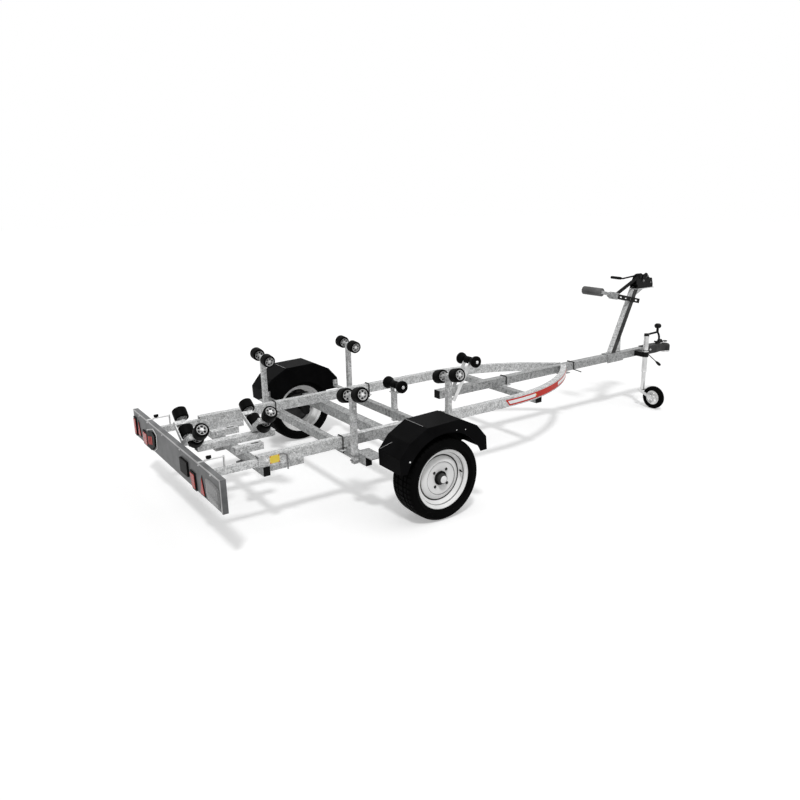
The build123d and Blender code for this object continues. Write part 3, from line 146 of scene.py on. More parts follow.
def grained(name, dark, light, rough, grain, depth, shine, metallic=0.0):
    mat, tree, shader = material(name, dark, rough, metallic)
    shader.inputs["Specular IOR Level"].default_value = shine
    tone = texture(tree, "ShaderNodeTexNoise", 11, Detail=5.0)
    fine = texture(tree, "ShaderNodeTexNoise", grain, Detail=3.0)
    color = ramp(tree, tone.outputs["Fac"], 0.3, 0.7, dark, light)
    tree.links.new(color, shader.inputs["Base Color"])
    spread = remap(tree, tone.outputs["Fac"], rough - ROUGH_SPREAD, rough + ROUGH_SPREAD)
    tree.links.new(spread, shader.inputs["Roughness"])
    bump(tree, shader, fine.outputs["Fac"], depth, 0.5)
    return mat


def lens(name, color, deep):
    mat, tree, shader = material(name, color, 0.18)
    shader.inputs["Specular IOR Level"].default_value = 0.12
    cells = texture(tree, "ShaderNodeTexVoronoi", 150)
    tone = ramp(tree, cells.outputs["Distance"], 0.0, 0.8, color, deep)
    tree.links.new(tone, shader.inputs["Base Color"])
    shader.inputs["Coat Weight"].default_value = 0.15
    shader.inputs["Coat Roughness"].default_value = 0.08
    bump(tree, shader, cells.outputs["Distance"], 0.0015, 0.6)
    return mat


def webbing(name, dark, light):
    mat, tree, shader = material(name, dark, 0.8)
    shader.inputs["Specular IOR Level"].default_value = 0.1
    weave = texture(tree, "ShaderNodeTexWave", 110, Distortion=1.5)
    tree.links.new(ramp(tree, weave.outputs["Fac"], 0.2, 0.8, dark, light), shader.inputs["Base Color"])
    bump(tree, shader, weave.outputs["Fac"], 0.0008, 0.7)
    return mat


ZINC = galvanised("zinc", (0.87, 0.875, 0.875), (0.26, 0.265, 0.265))
# A darker copy of the zinc, used as painted shade
ZINC_PAINTED_SHADE = galvanised("zinc_mid", (0.54, 0.545, 0.545), (0.11, 0.115, 0.115))
ZINC_DARK = galvanised("zinc_dark", grey(0.34), grey(0.08))
PLATED = grained("plated_steel", grey(0.55), grey(0.85), 0.3, 420, 0.0003, 0.5, 0.7)
BLACK_STEEL = grained("black_steel", grey(0.003), grey(0.008), 0.4, 300, 0.0004, 0.09)
GUARD = grained(
    "guard_plastic", (0.0022, 0.0022, 0.0024), (0.0045, 0.0045, 0.0048), 0.5, 650, 0.0005, 0.015
)
CAP = grained("cap_plastic", grey(0.003), grey(0.007), 0.5, 500, 0.0004, 0.06)
TYRE = grained("tyre_rubber", grey(0.0012), grey(0.003), 0.62, 380, 0.0006, 0.02)
RUBBER = grained("roller_rubber", grey(0.0015), grey(0.004), 0.5, 420, 0.0005, 0.03)
BOW_GREY = grained("bow_roller_grey", grey(0.09), grey(0.17), 0.55, 420, 0.0005, 0.15)
HUB_GREY = grained("roller_hub_plastic", grey(0.36), grey(0.62), 0.45, 500, 0.0004, 0.2)
WHEEL_PAINT = grained("wheel_paint", (0.84, 0.84, 0.835), (0.93, 0.93, 0.925), 0.36, 350, 0.0003, 0.3)
CAST = grained("cast_iron", grey(0.012), grey(0.06), 0.6, 260, 0.0008, 0.2, 0.2)
BOARD = grained("board_sheet", (0.10, 0.102, 0.104), (0.19, 0.192, 0.195), 0.46, 260, 0.0003, 0.2)
BOARD_EDGE = grained("board_edge_sheet", grey(0.34), grey(0.52), 0.4, 260, 0.0003, 0.3, 0.2)
RED_LENS = lens("red_lens", (0.72, 0.03, 0.018), (0.30, 0.008, 0.006))
CLEAR_LENS = lens("clear_lens", grey(0.27), grey(0.17))
WEB = webbing("strap_web", grey(0.003), grey(0.012))
STRIP_RED = grained("strip_red", (0.56, 0.028, 0.018), (0.66, 0.038, 0.024), 0.34, 500, 0.0002, 0.08)
STRIP_WHITE = grained("strip_white", grey(0.92), grey(0.97), 0.34, 500, 0.0002, 0.2)
PLATE_YELLOW = grained("plate_yellow", (0.90, 0.66, 0.07), (0.95, 0.76, 0.16), 0.4, 500, 0.0002, 0.1)

# Finishes of the CAD nodes: by slot, then some by name
looks = {
    "galvanised": ZINC,
    "black_paint": BLACK_STEEL,
    "silver_paint": WHEEL_PAINT,
    "cast_iron": CAST,
    "tyre": TYRE,
    "black_plastic": CAP,
    "bright_steel": PLATED,
    "board_grey": BOARD,
    "lamp_red": RED_LENS,
    "lamp_clear": CLEAR_LENS,
    "strap_web": WEB,
    "roller_rubber": RUBBER,
}
for part in frame["record"]["subparts"]:
    node = frame["nodes"][part["node"]]
    node.data.materials.clear()
    node.data.materials.append(looks[part["material_slot"]])
# The middling zinc on the cross tubes, drawbar, axle beam, junction plate, mudguard stays and bow yoke is painted
# shade, a darker copy of the plain zinc
for name, mat in (
    ("mudguards", GUARD), ("clamp_pads", ZINC_DARK), ("wire_catch", CAST), ("bow_bracket", BLACK_STEEL),
    ("coupling_head", CAST), ("keel_strut", PLATED), ("cross_tubes", ZINC_PAINTED_SHADE), ("drawbar", ZINC_PAINTED_SHADE),
    ("axle_beam", ZINC_PAINTED_SHADE), ("junction_plate", ZINC_PAINTED_SHADE), ("mudguard_stays", ZINC_PAINTED_SHADE),
    ("bow_yoke", ZINC_PAINTED_SHADE),
):
    frame["nodes"][name].data.materials[0] = mat

# Painted shade on the winch post: a dark material on its sides and the middling zinc on its base
POST_HALF, POST_BASE_TOP = 0.025, 0.52
PAINTED_SHADE_SIDE, PAINTED_SHADE_BASE = 1, 2
post = frame["nodes"]["winch_post"].data
post.materials.append(CAST)
post.materials.append(ZINC_PAINTED_SHADE)
for face in post.polygons:
    if abs(face.normal.y) > 0.9 and abs(abs(face.center.y) - POST_HALF) < 0.0015:
        face.material_index = PAINTED_SHADE_SIDE
    elif face.center.z < POST_BASE_TOP:
        face.material_index = PAINTED_SHADE_BASE


# Mesh helpers. Pieces are drawn in millimetres, level, and LEVEL_MM parks them.
LEVEL_MM = park @ Matrix.Scale(MM, 4)
# Stands an outline of (x, z) up: (x, z, h) goes to (x, -h, z)
UPRIGHT = Matrix(((1, 0, 0, 0), (0, 0, -1, 0), (0, 1, 0, 0), (0, 0, 0, 1)))
SIDES = (("left", 1), ("right", -1))


def axis_frame(centre, way):
    z_dir = Vector(way).normalized()
    side = Vector((0, 0, 1)).cross(z_dir)
    x_dir = (side if side.length > 0.01 else Vector((1, 0, 0))).normalized()
    matrix = Matrix((x_dir, z_dir.cross(x_dir), z_dir)).transposed().to_4x4()
    matrix.translation = Vector(centre)
    return matrix


def join_rings(bm, rings, closed):
    # Quads from each ring of points to the next, and from the last to the first where closed
    for near, far in zip(rings, rings[1:] + rings[:1] if closed else rings[1:]):
        for i in range(len(near)):
            j = (i + 1) % len(near)
            bm.faces.new((near[i], near[j], far[j], far[i]))


def lathe(bm, loop, place, count):
    # Turns a closed loop of (radius, distance along) about the local z axis
    rings = []
    for k in range(count):
        turn = 2 * pi * k / count
        rings.append([bm.verts.new(place @ Vector((r * cos(turn), r * sin(turn), a))) for r, a in loop])
    join_rings(bm, rings, True)


def mirrored(loop):
    # The other half of a loop, run backwards
    return [(r, -a) for r, a in reversed(loop)]


def shaft(bm, start, end, radius, count=14):
    start, end = Vector(start), Vector(end)
    length = (end - start).length
    edge = min(radius * 0.18, length * 0.2)
    loop = [(0, 0), (radius - edge, 0), (radius, edge)]
    loop += [(radius, length - edge), (radius - edge, length), (0, length)]
    lathe(bm, loop, axis_frame(start, end - start), count)


def prism(bm, outline, low, high, place=Matrix()):
    bottom = [bm.verts.new(place @ Vector((x, y, low))) for x, y in outline]
    top = [bm.verts.new(place @ Vector((x, y, high))) for x, y in outline]
    bm.faces.new(bottom)
    bm.faces.new(top)
    for i in range(len(outline)):
        j = (i + 1) % len(outline)
        bm.faces.new((bottom[i], bottom[j], top[j], top[i]))


def slab(bm, x, y, z):
    prism(bm, [(x[0], y[0]), (x[1], y[0]), (x[1], y[1]), (x[0], y[1])], z[0], z[1])


def bolt(bm, at, way, size, washer=True):
    # A hexagon head of the given half width, with the thread's end standing out
    place = axis_frame(at, way)
    seat = 0.0
    if washer:
        seat = size * 0.2
        flat = size * 1.25
        lathe(bm, [(0, 0), (flat, 0), (size * 1.3, seat * 0.5), (flat, seat), (0, seat)], place, 20)
    top = seat + size * 0.75
    head = [(0, seat), (size, seat), (size, top - size * 0.15), (size * 0.84, top), (0, top)]
    lathe(bm, head, place, 6)
    tip = top + size * 0.3
    lathe(bm, [(0, top), (size * 0.5, top), (size * 0.42, tip), (0, tip)], place, 12)


def bolt_pair(bm, x, y, half, z, size):
    # Two bolts that face away from each other across a tube or a plate
    for way in (-1, 1):
        bolt(bm, (x, y + way * half, z), (0, way, 0), size)


def nut(bm, at, way, seat, wide, high):
    loop = [(0, 0), (seat, 0), (wide, 1), (wide, high - 1), (seat, high), (0, high)]
    lathe(bm, loop, axis_frame(at, way), 6)


def tube_along(bm, points, radius, count=10):
    # A round bar bent through points, with mitred rings and flat ends
    points = [Vector(p) for p in points]
    rings = []
    normal = None
    for i, point in enumerate(points):
        before = points[i] - points[i - 1] if i else points[1] - points[0]
        after = points[i + 1] - points[i] if i + 1 < len(points) else before
        way = (before.normalized() + after.normalized()).normalized()
        if normal is None:
            normal = way.orthogonal().normalized()
        normal = (normal - way * normal.dot(way)).normalized()
        other = way.cross(normal)
        stretch = min(1 / max(0.6, way.dot(after.normalized())), 1.15)
        ring = []
        for k in range(count):
            turn = 2 * pi * k / count
            ring.append(bm.verts.new(point + (normal * cos(turn) + other * sin(turn)) * radius * stretch))
        rings.append(ring)
    join_rings(bm, rings, False)
    bm.faces.new(rings[0])
    bm.faces.new(rings[-1])


BEND_STEPS = 4


def rounded(points, radius):
    # Rounds the corners of a route so that a bar bends instead of breaking
    points = [Vector(p) for p in points]
    route = [points[0]]
    for i in range(1, len(points) - 1):
        back, here, ahead = points[i - 1], points[i], points[i + 1]
        reach = min(radius, (back - here).length * 0.45, (ahead - here).length * 0.45)
        a = here + (back - here).normalized() * reach
        b = here + (ahead - here).normalized() * reach
        for k in range(BEND_STEPS + 1):
            t = k / BEND_STEPS
            route.append(a * (1 - t) ** 2 + here * 2 * t * (1 - t) + b * t * t)
    route.append(points[-1])
    return route


def weld(bm, start, end, radius):
    # A bead with ripples
    start, end = Vector(start), Vector(end)
    length = (end - start).length
    steps = max(4, int(length / radius * 1.6))
    loop = [(0, 0)]
    for k in range(steps + 1):
        swell = 0.82 + 0.18 * (k % 2)
        loop.append((radius * swell * (0.5 if k in (0, steps) else 1), length * k / steps))
    loop.append((0, length))
    lathe(bm, loop, axis_frame(start, end - start), 8)


def mesh_object(name, bm, mat, place):
    bm.transform(place)
    mesh = bpy.data.meshes.new(name)
    bm.to_mesh(mesh)
    bm.free()
    mesh.materials.append(mat)
    obj = bpy.data.objects.new(name, mesh)
    bpy.context.scene.collection.objects.link(obj)
    return obj


def piece(name, bm, body, mat, place=LEVEL_MM, bevel=0.0, sharp=32, replaced=()):
    bmesh.ops.remove_doubles(bm, verts=bm.verts, dist=1e-4)
    bmesh.ops.recalc_face_normals(bm, faces=bm.faces)
    obj = mesh_object(name, bm, mat, place)
    obj.data.polygons.foreach_set("use_smooth", [True] * len(obj.data.polygons))
    obj.data.set_sharp_from_angle(angle=radians(sharp))
    if bevel:
        rounding = obj.modifiers.new("edges", "BEVEL")
        rounding.width = bevel * MM
        rounding.segments = 2
        rounding.limit_method = "ANGLE"
        rounding.angle_limit = radians(35)
    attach(obj, body)
    if replaced:
        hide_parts(*replaced)


def turned(name, loops, axis, count, body, mat, **options):
    # A piece made of turned loops alone
    bm = bmesh.new()
    for loop in loops:
        lathe(bm, loop, axis, count)
    piece(name, bm, body, mat, **options)


def wheel_place(flip):
    return axis_frame((0, flip * TYRE_Y / MM, TYRE_R / MM), (0, flip, 0))


# Road tyres: grooved tread with cross cuts, ribbed sidewalls
PITCHES = 46
CUT_DEPTH, CUT_SLANT, CUT_HALF, GROOVE_R = 4.5, 0.10, 60, 247
tread_half = [
    (176, 73.5), (184, 81), (189, 87), (196, 92.5), (203, 95.6), (204.5, 97.2), (208, 97.4),
    (209.5, 96.8), (220, 97.0), (231, 94.6), (233, 95.2), (236, 94.4), (237, 92.4), (243.5, 88.2),
    (248.3, 82.5), (250.6, 75.5),
]
tread_crown = [
    (251.6, 66), (251.9, 60), (245.5, 58.2), (245.5, 52.0), (252.4, 50.3), (253.2, 30), (246.5, 28.2),
    (246.5, 20.5), (253.6, 18.8), (254.0, 6),
]
tread_inside = [(240, 60), (226, 82), (208, 85), (192, 74), (178, 62)]
outer_wall = tread_half + tread_crown
tyre_loop = outer_wall + mirrored(outer_wall) + mirrored(tread_inside) + tread_inside
cut_first, cut_last = len(tread_half) - 4, len(outer_wall) + len(tread_crown) + 4
for side, flip in SIDES:
    place = wheel_place(flip)
    bm = bmesh.new()
    rings = []
    for pitch in range(PITCHES):
        for share, cut in ((0.0, 0.0), (0.76, 0.0), (0.81, CUT_DEPTH), (0.95, CUT_DEPTH)):
            ring = []
            for i, (r, a) in enumerate(tyre_loop):
                inside = cut_first <= i < cut_last
                slant = CUT_SLANT * (a / CUT_HALF) if inside else 0.0
                if inside and r > GROOVE_R:
                    r -= cut
                turn = 2 * pi * (pitch + share + slant) / PITCHES
                ring.append(bm.verts.new(place @ Vector((r * cos(turn), r * sin(turn), a))))
            rings.append(ring)
    join_rings(bm, rings, True)
    piece("tyre_tread_" + side, bm, "wheel_" + side, TYRE, replaced=("tyre_" + side,))

# Pressed rims with their steps, wheel bolts, grease cap and valve, and painted shade in the rim's seam, at its
# steps and on its inboard face
barrel_loop = [
    (182.4, 79.5), (181.0, 76.4), (169.5, 74.0), (167.5, 52), (147.5, 41), (144.5, 34),
    (144.5, -22), (165.5, -38), (167.5, -72), (181.0, -76.4), (182.4, -79.5), (179.0, -80.0),
    (163.8, -75.5), (161.5, -41), (140.8, -26), (140.8, 30), (143.5, 38.5), (157.0, 47.5),
    (161.8, 53.0), (163.6, 68.0), (166.6, 72.6), (174.0, 76.6), (178.5, 80.0),
]
disc_loop = [
    (141.5, 20), (139.0, 27), (136.5, 33), (131.5, 39.0), (122, 46.2), (112, 51.4), (104.5, 53.8),
    (102.0, 54.0), (100.8, 50.4), (98.4, 50.2), (84, 50.4), (66, 48.6), (48, 47.2), (44, 45.6),
    (36, 45.2), (36, 41.6), (46, 42.0), (66, 45.0), (98, 48.0), (112, 47.6), (122, 42.6),
    (130, 35.4), (136, 20),
]
# A dark layer on the inboard face of the silver disc: painted shade
disc_back_shade = [
    (60, 43.0), (98, 46.6), (112, 46.2), (121, 41.4), (129, 34.4), (134, 22),
    (132.5, 21.5), (127.8, 33.4), (120, 40.2), (111.6, 44.8), (98, 45.2), (60, 41.6),
]
# A dark ring in the gap between disc and barrel: painted shadow
gap_shadow_loop = [(136.2, 31.0), (140.4, 29.6), (142.6, 33.6), (141.4, 36.4), (138.4, 35.4), (134.6, 37.2)]
# Dark rings on the disc step and the barrel wall step: painted shade
step_shade_ring = [(100.0, 50.0), (102.6, 53.4), (102.2, 54.5), (100.6, 54.3), (98.6, 50.9)]
wall_shade_ring = [(161.4, 57.0), (162.6, 61.0), (163.4, 64.0), (161.8, 64.2), (160.0, 57.4)]
cap_seat_loop = [
    (28.5, 42), (42.5, 46), (43.0, 51), (40.5, 54.5), (36.5, 55.5), (33.5, 53), (32.5, 48), (28.5, 47),
]
cap_loop = [(0, 45), (31.2, 45), (31.8, 60), (31.0, 67), (29.6, 73), (27.4, 78.2), (26, 79.6), (0, 79.6)]
cap_face_loop = [(0, 79.5), (22.4, 79.5), (22.8, 80.6), (21.2, 82.0), (12, 83.0), (0, 83.4)]
well_loop = [(0, 0), (8.6, 0), (9.2, 1.2), (8.0, 1.8), (0, 1.6)]
# The dark seam ring, the dark step rings and the dark inboard layer are painted shade, not parts of the rim
wheel_trim = (
    ("rim_gap_shadows_", [gap_shadow_loop], 96, CAST), ("rim_shade_rings_", [step_shade_ring, wall_shade_ring], 96, ZINC_DARK),
    ("rim_shaded_backs_", [disc_back_shade], 72, CAST), ("cap_seat_", [cap_seat_loop], 48, CAP),
    ("grease_cap_", [cap_loop], 48, CAST), ("grease_cap_face_", [cap_face_loop], 48, PLATED),
)
WHEEL_BOLTS, BOLT_R, BOLT_TURN, WELL_AT = 4, 62, 0.06, 48.9
for side, flip in SIDES:
    place = wheel_place(flip)
    body = "wheel_" + side
    turned("wheel_rim_" + side, [barrel_loop, disc_loop], place, 96, body, WHEEL_PAINT,
           sharp=24, replaced=("rim_" + side,))
    bolts, wells = bmesh.new(), bmesh.new()
    for k in range(WHEEL_BOLTS):
        turn = pi / 4 + k * pi / 2 + BOLT_TURN
        at = place @ Vector((BOLT_R * cos(turn), BOLT_R * sin(turn), WELL_AT))
        way = place.to_3x3() @ Vector((0, 0, 1))
        lathe(wells, well_loop, axis_frame(at, way), 24)
        bolt(bolts, at + way * 1.4, way, 6.6, washer=False)
    piece("wheel_bolts_" + side, bolts, body, CAST)
    piece("bolt_wells_" + side, wells, body, CAP)
    for name, loops, count, mat in wheel_trim:
        turned(name + side, loops, place, count, body, mat)
    bm = bmesh.new()
    foot = place @ Vector((-148 * flip, 12, 46))
    tip = place @ Vector((-139 * flip, 13, 76))
    shaft(bm, foot, foot.lerp(tip, 0.62), 5.6)
    shaft(bm, foot.lerp(tip, 0.58), tip, 4.0)
    piece("valve_" + side, bm, body, CAP)

# Twin rollers: rubber treads on spoked hubs, with washers on the pins
tread_loop = [
    (31.3, -33.6), (35.5, -34), (39.5, -33.4), (42.4, -31.2), (43.7, -27.5), (44.0, -22),
    (44.0, 22), (43.7, 27.5), (42.4, 31.2), (39.5, 33.4), (35.5, 34), (31.3, 33.6),
]
hub_rim_loop = [
    (26.4, -30), (27.2, -32.2), (30.9, -32.8), (31.1, -30), (31.1, 30), (30.9, 32.8), (27.2, 32.2),
    (26.4, 30),
]
hub_boss_loop = [(8.1, -33), (12.2, -33), (13.6, -31.4), (13.6, 31.4), (12.2, 33), (8.1, 33)]
web_loop = [(12.8, -20), (27.4, -20), (27.4, 20), (12.8, 20)]
SPOKE = [(11.5, -3.4), (20, -2.3), (27.6, -3.8), (27.6, 3.8), (20, 2.3), (11.5, 3.4)]
washer_loop = [(0, 0), (10.2, 0), (10.8, 0.6), (10.8, 1.6), (10.2, 2.2), (0, 2.2)]
pin_loop = [(0, 2.0), (6.0, 2.0), (6.0, 4.2), (5.0, 5.0), (0, 5.2)]
CRADLE_PITCH, SIDE_PITCH, ROLLER_HALF, SPOKE_HALF, SPOKES = 125, 170, 34.2, 30.5, 6
for j in frame["joints"]:
    name = j["name"].removesuffix("_spin")
    if not name.startswith(("cradle_rollers", "side_rollers")):
        continue
    pitch = CRADLE_PITCH if name.startswith("cradle") else SIDE_PITCH
    place = axis_frame(j["pos_m"], j["axis"]) @ Matrix.Scale(MM, 4)
    treads, hubs, webs, washers = bmesh.new(), bmesh.new(), bmesh.new(), bmesh.new()
    for share in (-0.5, 0.5):
        seat = Matrix.Translation((0, 0, share * pitch))
        lathe(treads, tread_loop, seat, 56)
        lathe(hubs, hub_rim_loop, seat, 48)
        lathe(hubs, hub_boss_loop, seat, 24)
        lathe(webs, web_loop, seat, 36)
        for k in range(SPOKES):
            turn = Matrix.Rotation(2 * k * pi / SPOKES + 0.2, 4, "Z")
            prism(hubs, SPOKE, -SPOKE_HALF, SPOKE_HALF, seat @ turn)
    reach = pitch / 2 + ROLLER_HALF
    for flip in (-1, 1):
        end = axis_frame((0, 0, flip * reach), (0, 0, flip))
        lathe(washers, washer_loop, end, 24)
        lathe(washers, pin_loop, end, 16)
    piece(name + "_treads", treads, name, RUBBER, place, replaced=(name,))
    piece(name + "_hubs", hubs, name, HUB_GREY, place)
    piece(name + "_webs", webs, name, CAP, place)
    piece(name + "_washers", washers, "frame", PLATED, place)

# Keel rollers: flared ends and a neck sleeve
dumb_loop = [
    (9.1, 36.9), (27, 36.9), (28.2, 44), (31.5, 52), (36.5, 61), (41, 70), (43.3, 78), (44.0, 86),
    (43.2, 92.5), (40.2, 97.2), (35.5, 99.6), (28, 99.4), (25.5, 96), (16, 95.4), (14, 98.6),
    (9.1, 98.6),
]
sleeve_loop = [(9.1, -29.6), (26.4, -29.6), (27, -28), (27, 28), (26.4, 29.6), (9.1, 29.6)]
keel_washer = [(0, 0), (11.6, 0), (12.2, 0.7), (12.2, 1.7), (11.6, 2.4), (0, 2.4)]
keel_pin = [(0, 2.2), (8.6, 2.2), (8.6, 4.4), (7.4, 5.2), (0, 5.4)]
for name, x, z in (("keel_roller_mid", 332, 562), ("keel_roller_front", 1000, 640)):
    bm, pins = bmesh.new(), bmesh.new()
    for flip in (-1, 1):
        lathe(bm, dumb_loop, axis_frame((x, 0, z), (0, flip, 0)), 56)
        end = axis_frame((x, flip * 98.9, z), (0, flip, 0))
        lathe(pins, keel_washer, end, 24)
        lathe(pins, keel_pin, end, 18)
    lathe(bm, sleeve_loop, axis_frame((x, 0, z), (0, 1, 0)), 40)
    piece(name + "_body", bm, name, RUBBER, replaced=(name,))
    piece(name + "_washers", pins, "frame", PLATED)

# Bow roller
bow_at = Vector(joint["bow_roller_spin"]["pos_m"])
bow_loop = [
    (7.1, 94.6), (21, 94.6), (22, 93.4), (24, 93.4), (25, 94.6), (32.4, 94.6), (34, 93.2), (34, 34.5),
    (33.1, 33.4), (33.1, 31.6), (34, 30.5),
]
bow_place = axis_frame(bow_at, (0, 1, 0)) @ Matrix.Scale(MM, 4)
turned("bow_roller_body", [bow_loop + mirrored(bow_loop)], Matrix(), 56, "bow_roller", BOW_GREY,
       place=bow_place, replaced=("bow_roller",))

# Mudguards: a faceted skin over the tyre with a round arch in both skirts
GUARD_R, AXLE_Z = 350, 254
GUARD_IN, GUARD_OUT = 775, 998
ARCH = {GUARD_IN: 216, GUARD_OUT: 290}
ARCH_STEPS = 7
guard_shares = (
    (-0.90, 0.30), (-0.91, 0.57), (-0.715, 0.80), (-0.37, 0.99), (0.31, 1.01), (0.67, 0.83),
    (0.875, 0.595), (0.895, 0.355),
)
for side, flip in SIDES:
    bm = bmesh.new()
    rim_points = [(x * GUARD_R, z * GUARD_R) for x, z in guard_shares]
    skins = {}
    for y in (GUARD_IN, GUARD_OUT):
        arch = ARCH[y]
        arch_turns = [atan2(z, x) for x, z in rim_points]
        arch_turns[0] = pi - atan2(rim_points[0][1], sqrt(arch ** 2 - rim_points[0][1] ** 2))
        arch_turns[-1] = atan2(rim_points[-1][1], sqrt(arch ** 2 - rim_points[-1][1] ** 2))
        rim_verts = [bm.verts.new((x, flip * y, z + AXLE_Z)) for x, z in rim_points]
        arch_verts = [bm.verts.new((arch * cos(t), flip * y, AXLE_Z + arch * sin(t))) for t in arch_turns]
        skins[y] = rim_verts
        for i in range(len(rim_points) - 1):
            between = []
            for k in range(1, ARCH_STEPS):
                t = arch_turns[i + 1] + (arch_turns[i] - arch_turns[i + 1]) * k / ARCH_STEPS
                between.append(bm.verts.new((arch * cos(t), flip * y, AXLE_Z + arch * sin(t))))
            bm.faces.new([rim_verts[i], rim_verts[i + 1], arch_verts[i + 1]] + between + [arch_verts[i]])
    for i in range(len(rim_points) - 1):
        near, far = skins[GUARD_IN], skins[GUARD_OUT]
        bm.faces.new((near[i], near[i + 1], far[i + 1], far[i]))
    bmesh.ops.remove_doubles(bm, verts=bm.verts, dist=0.01)
    bmesh.ops.recalc_face_normals(bm, faces=bm.faces)
    bm.faces.ensure_lookup_table()
    top_face = max(bm.faces, key=lambda f: f.calc_center_median().z)
    if top_face.normal.z < 0:
        bmesh.ops.reverse_faces(bm, faces=bm.faces)
    shell = mesh_object("guard_shell_" + side, bm, GUARD, LEVEL_MM)
    soften = shell.modifiers.new("fold", "BEVEL")
    soften.width = 3.2 * MM
    soften.segments = 3
    soften.limit_method = "ANGLE"
    soften.angle_limit = radians(8)
    thick = shell.modifiers.new("wall", "SOLIDIFY")
    thick.thickness = 4 * MM
    thick.offset = -1
    thick.use_even_offset = True
    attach(shell, "frame")
    if flip > 0:
        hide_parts("mudguards")
    # Pale rods along two creases of the guard: painted highlights
    bm = bmesh.new()
    shaft(bm, (-129, flip * 782, 600.7), (-129, flip * 955, 600.7), 1.1, 8)
    shaft(bm, (-312.5, flip * 787, 460.5), (-272, flip * 850, 508.1), 1.2, 8)
    piece("guard_creases_" + side, bm, "frame", HUB_GREY)
    bm = bmesh.new()
    for x, z, size in ((-253, 427, 5.5), (78, 548, 3.6), (144, 538, 3.6)):
        rivet = [(0, 0), (size, 0), (size * 0.9, 1.4), (size * 0.5, 2.4), (0, 2.7)]
        lathe(bm, rivet, axis_frame((x, flip * (GUARD_OUT + 0.1), z), (0, flip, 0)), 16)
    piece("guard_rivets_" + side, bm, "frame", PLATED)
    bm = bmesh.new()
    for x in (-293, 285):
        for z in (420, 438):
            bolt(bm, (x, flip * 768.5, z), (0, -flip, 0), 7)
    piece("guard_bolts_" + side, bm, "frame", PLATED)

# Reflective strips on the bends of the rails: red with a white middle line at both ends
RAIL_FACE, STRIP_START = 486, 932
ARC_R, ARC_START, ARC_MIDDLE = 1417.5, 980, -931.5
STRIP_GAP, STRIP_STEP = 0.15, 22


def on_rail(run, out, z, flip):
    x = STRIP_START + run
    if x <= ARC_START:
        return (x, flip * (RAIL_FACE + out), z)
    turn = (x - ARC_START) / ARC_R
    return (ARC_START + (ARC_R + out) * sin(turn), flip * (ARC_MIDDLE + (ARC_R + out) * cos(turn)), z)


def strip(bm, first, last, low, high, lift, slant, flip):
    steps = max(2, int((last - first) / STRIP_STEP))
    rows = []
    for k in range(steps + 1):
        run = first + (last - first) * k / steps
        lean = slant * (1 - k / steps)
        low_run = run + lean
        corners = ((low_run, STRIP_GAP, low), (run, STRIP_GAP, high), (run, lift, high), (low_run, lift, low))
        rows.append([bm.verts.new(on_rail(along, out, z, flip)) for along, out, z in corners])
    join_rings(bm, rows, False)
    bm.faces.new(rows[0])
    bm.faces.new(rows[-1])


for side, flip in SIDES:
    bm = bmesh.new()
    strip(bm, 0, 1112, 405, 450, 1.0, 38, flip)
    piece("strip_red_" + side, bm, "frame", STRIP_RED, sharp=60)
    bm = bmesh.new()
    strip(bm, 22, 318, 416, 440, 1.5, 20, flip)
    strip(bm, 692, 1086, 416, 441, 1.5, 0, flip)
    piece("strip_white_" + side, bm, "frame", STRIP_WHITE, sharp=60)
    bm = bmesh.new()
    strip(bm, 319, 329, 424, 434, 1.7, 0, flip)
    piece("strip_dot_" + side, bm, "frame", PLATE_YELLOW, sharp=60)

# Number plate stand-in, bolts and the bent catch on the saddles
for side, flip in SIDES:
    bm = bmesh.new()
    for x, z, size in ((-881, 428, 8.5), (-781, 440, 5.5)):
        bolt(bm, (x, flip * 490, z), (0, flip, 0), size)
    for x, z, size in ((-898, 430, 7), (-738, 430, 7)):
        bolt(bm, (x, flip * 440.8, z), (0, -flip, 0), size)
    bolt(bm, (-711, flip * 486, 433), (0, flip, 0), 7)
    bolt(bm, (-848, flip * 463, 461), (0, 0, 1), 6)
    bolt(bm, (-640, flip * 444.8, 376), (0, flip, 0), 6)
    piece("saddle_bolts_" + side, bm, "frame", PLATED)
    bm = bmesh.new()
    catch = [(-800, flip * 492, 452), (-772, flip * 494, 448)]
    catch += [(-756, flip * 495, 436), (-757, flip * 495, 352)]
    tube_along(bm, rounded(catch, 12), 4.2)
    piece("saddle_catch_" + side, bm, "frame", ZINC_DARK)
bm = bmesh.new()
slab(bm, (-864, -803), (-491.2, -490.1), (405, 451))
piece("blank_plate", bm, "frame", PLATE_YELLOW, bevel=0.5)
bm = bmesh.new()
for x in (-860, -807):
    for z in (409, 447):
        corner = [(x - 3.2, z - 3.2), (x + 3.2, z - 3.2), (x + 3.2, z + 3.2), (x - 3.2, z + 3.2)]
        prism(bm, corner, 491.0, 491.9, UPRIGHT)
piece("blank_plate_corners", bm, "frame", STRIP_RED)


# U-bolts over the rails and the drawbar, each with a plate and nuts
def ubolt(bm, plates, x, y, half, top, low):
    route = [(x, y - half, low), (x, y - half, top), (x, y + half, top), (x, y + half, low)]
    tube_along(bm, rounded(route, 9), 4.2)
    slab(plates, (x - 16, x + 16), (y - half - 14, y + half + 14), (low + 16, low + 21))
    for leg in (-half, half):
        nut(bm, (x, y + leg, low + 15.6), (0, 0, -1), 8, 8.4, 6.8)


clamps, clamp_plates = bmesh.new(), bmesh.new()
for flip in (-1, 1):
    for x in (-386, 388):
        ubolt(clamps, clamp_plates, x, flip * 463.5, 27, 465.4, 362)
ubolt(clamps, clamp_plates, 1356, 0, 34.6, 460.5, 350)
piece("u_bolts", clamps, "frame", CAST)
piece("u_bolt_plates", clamp_plates, "frame", ZINC, bevel=1.0)
bm = bmesh.new()
slab(bm, (1329, 1392), (-52, 52), (391, 395.6))
slab(bm, (1328, 1332.5), (-52, 52), (352, 395.6))
piece("drawbar_angle", bm, "frame", ZINC, bevel=1.0)

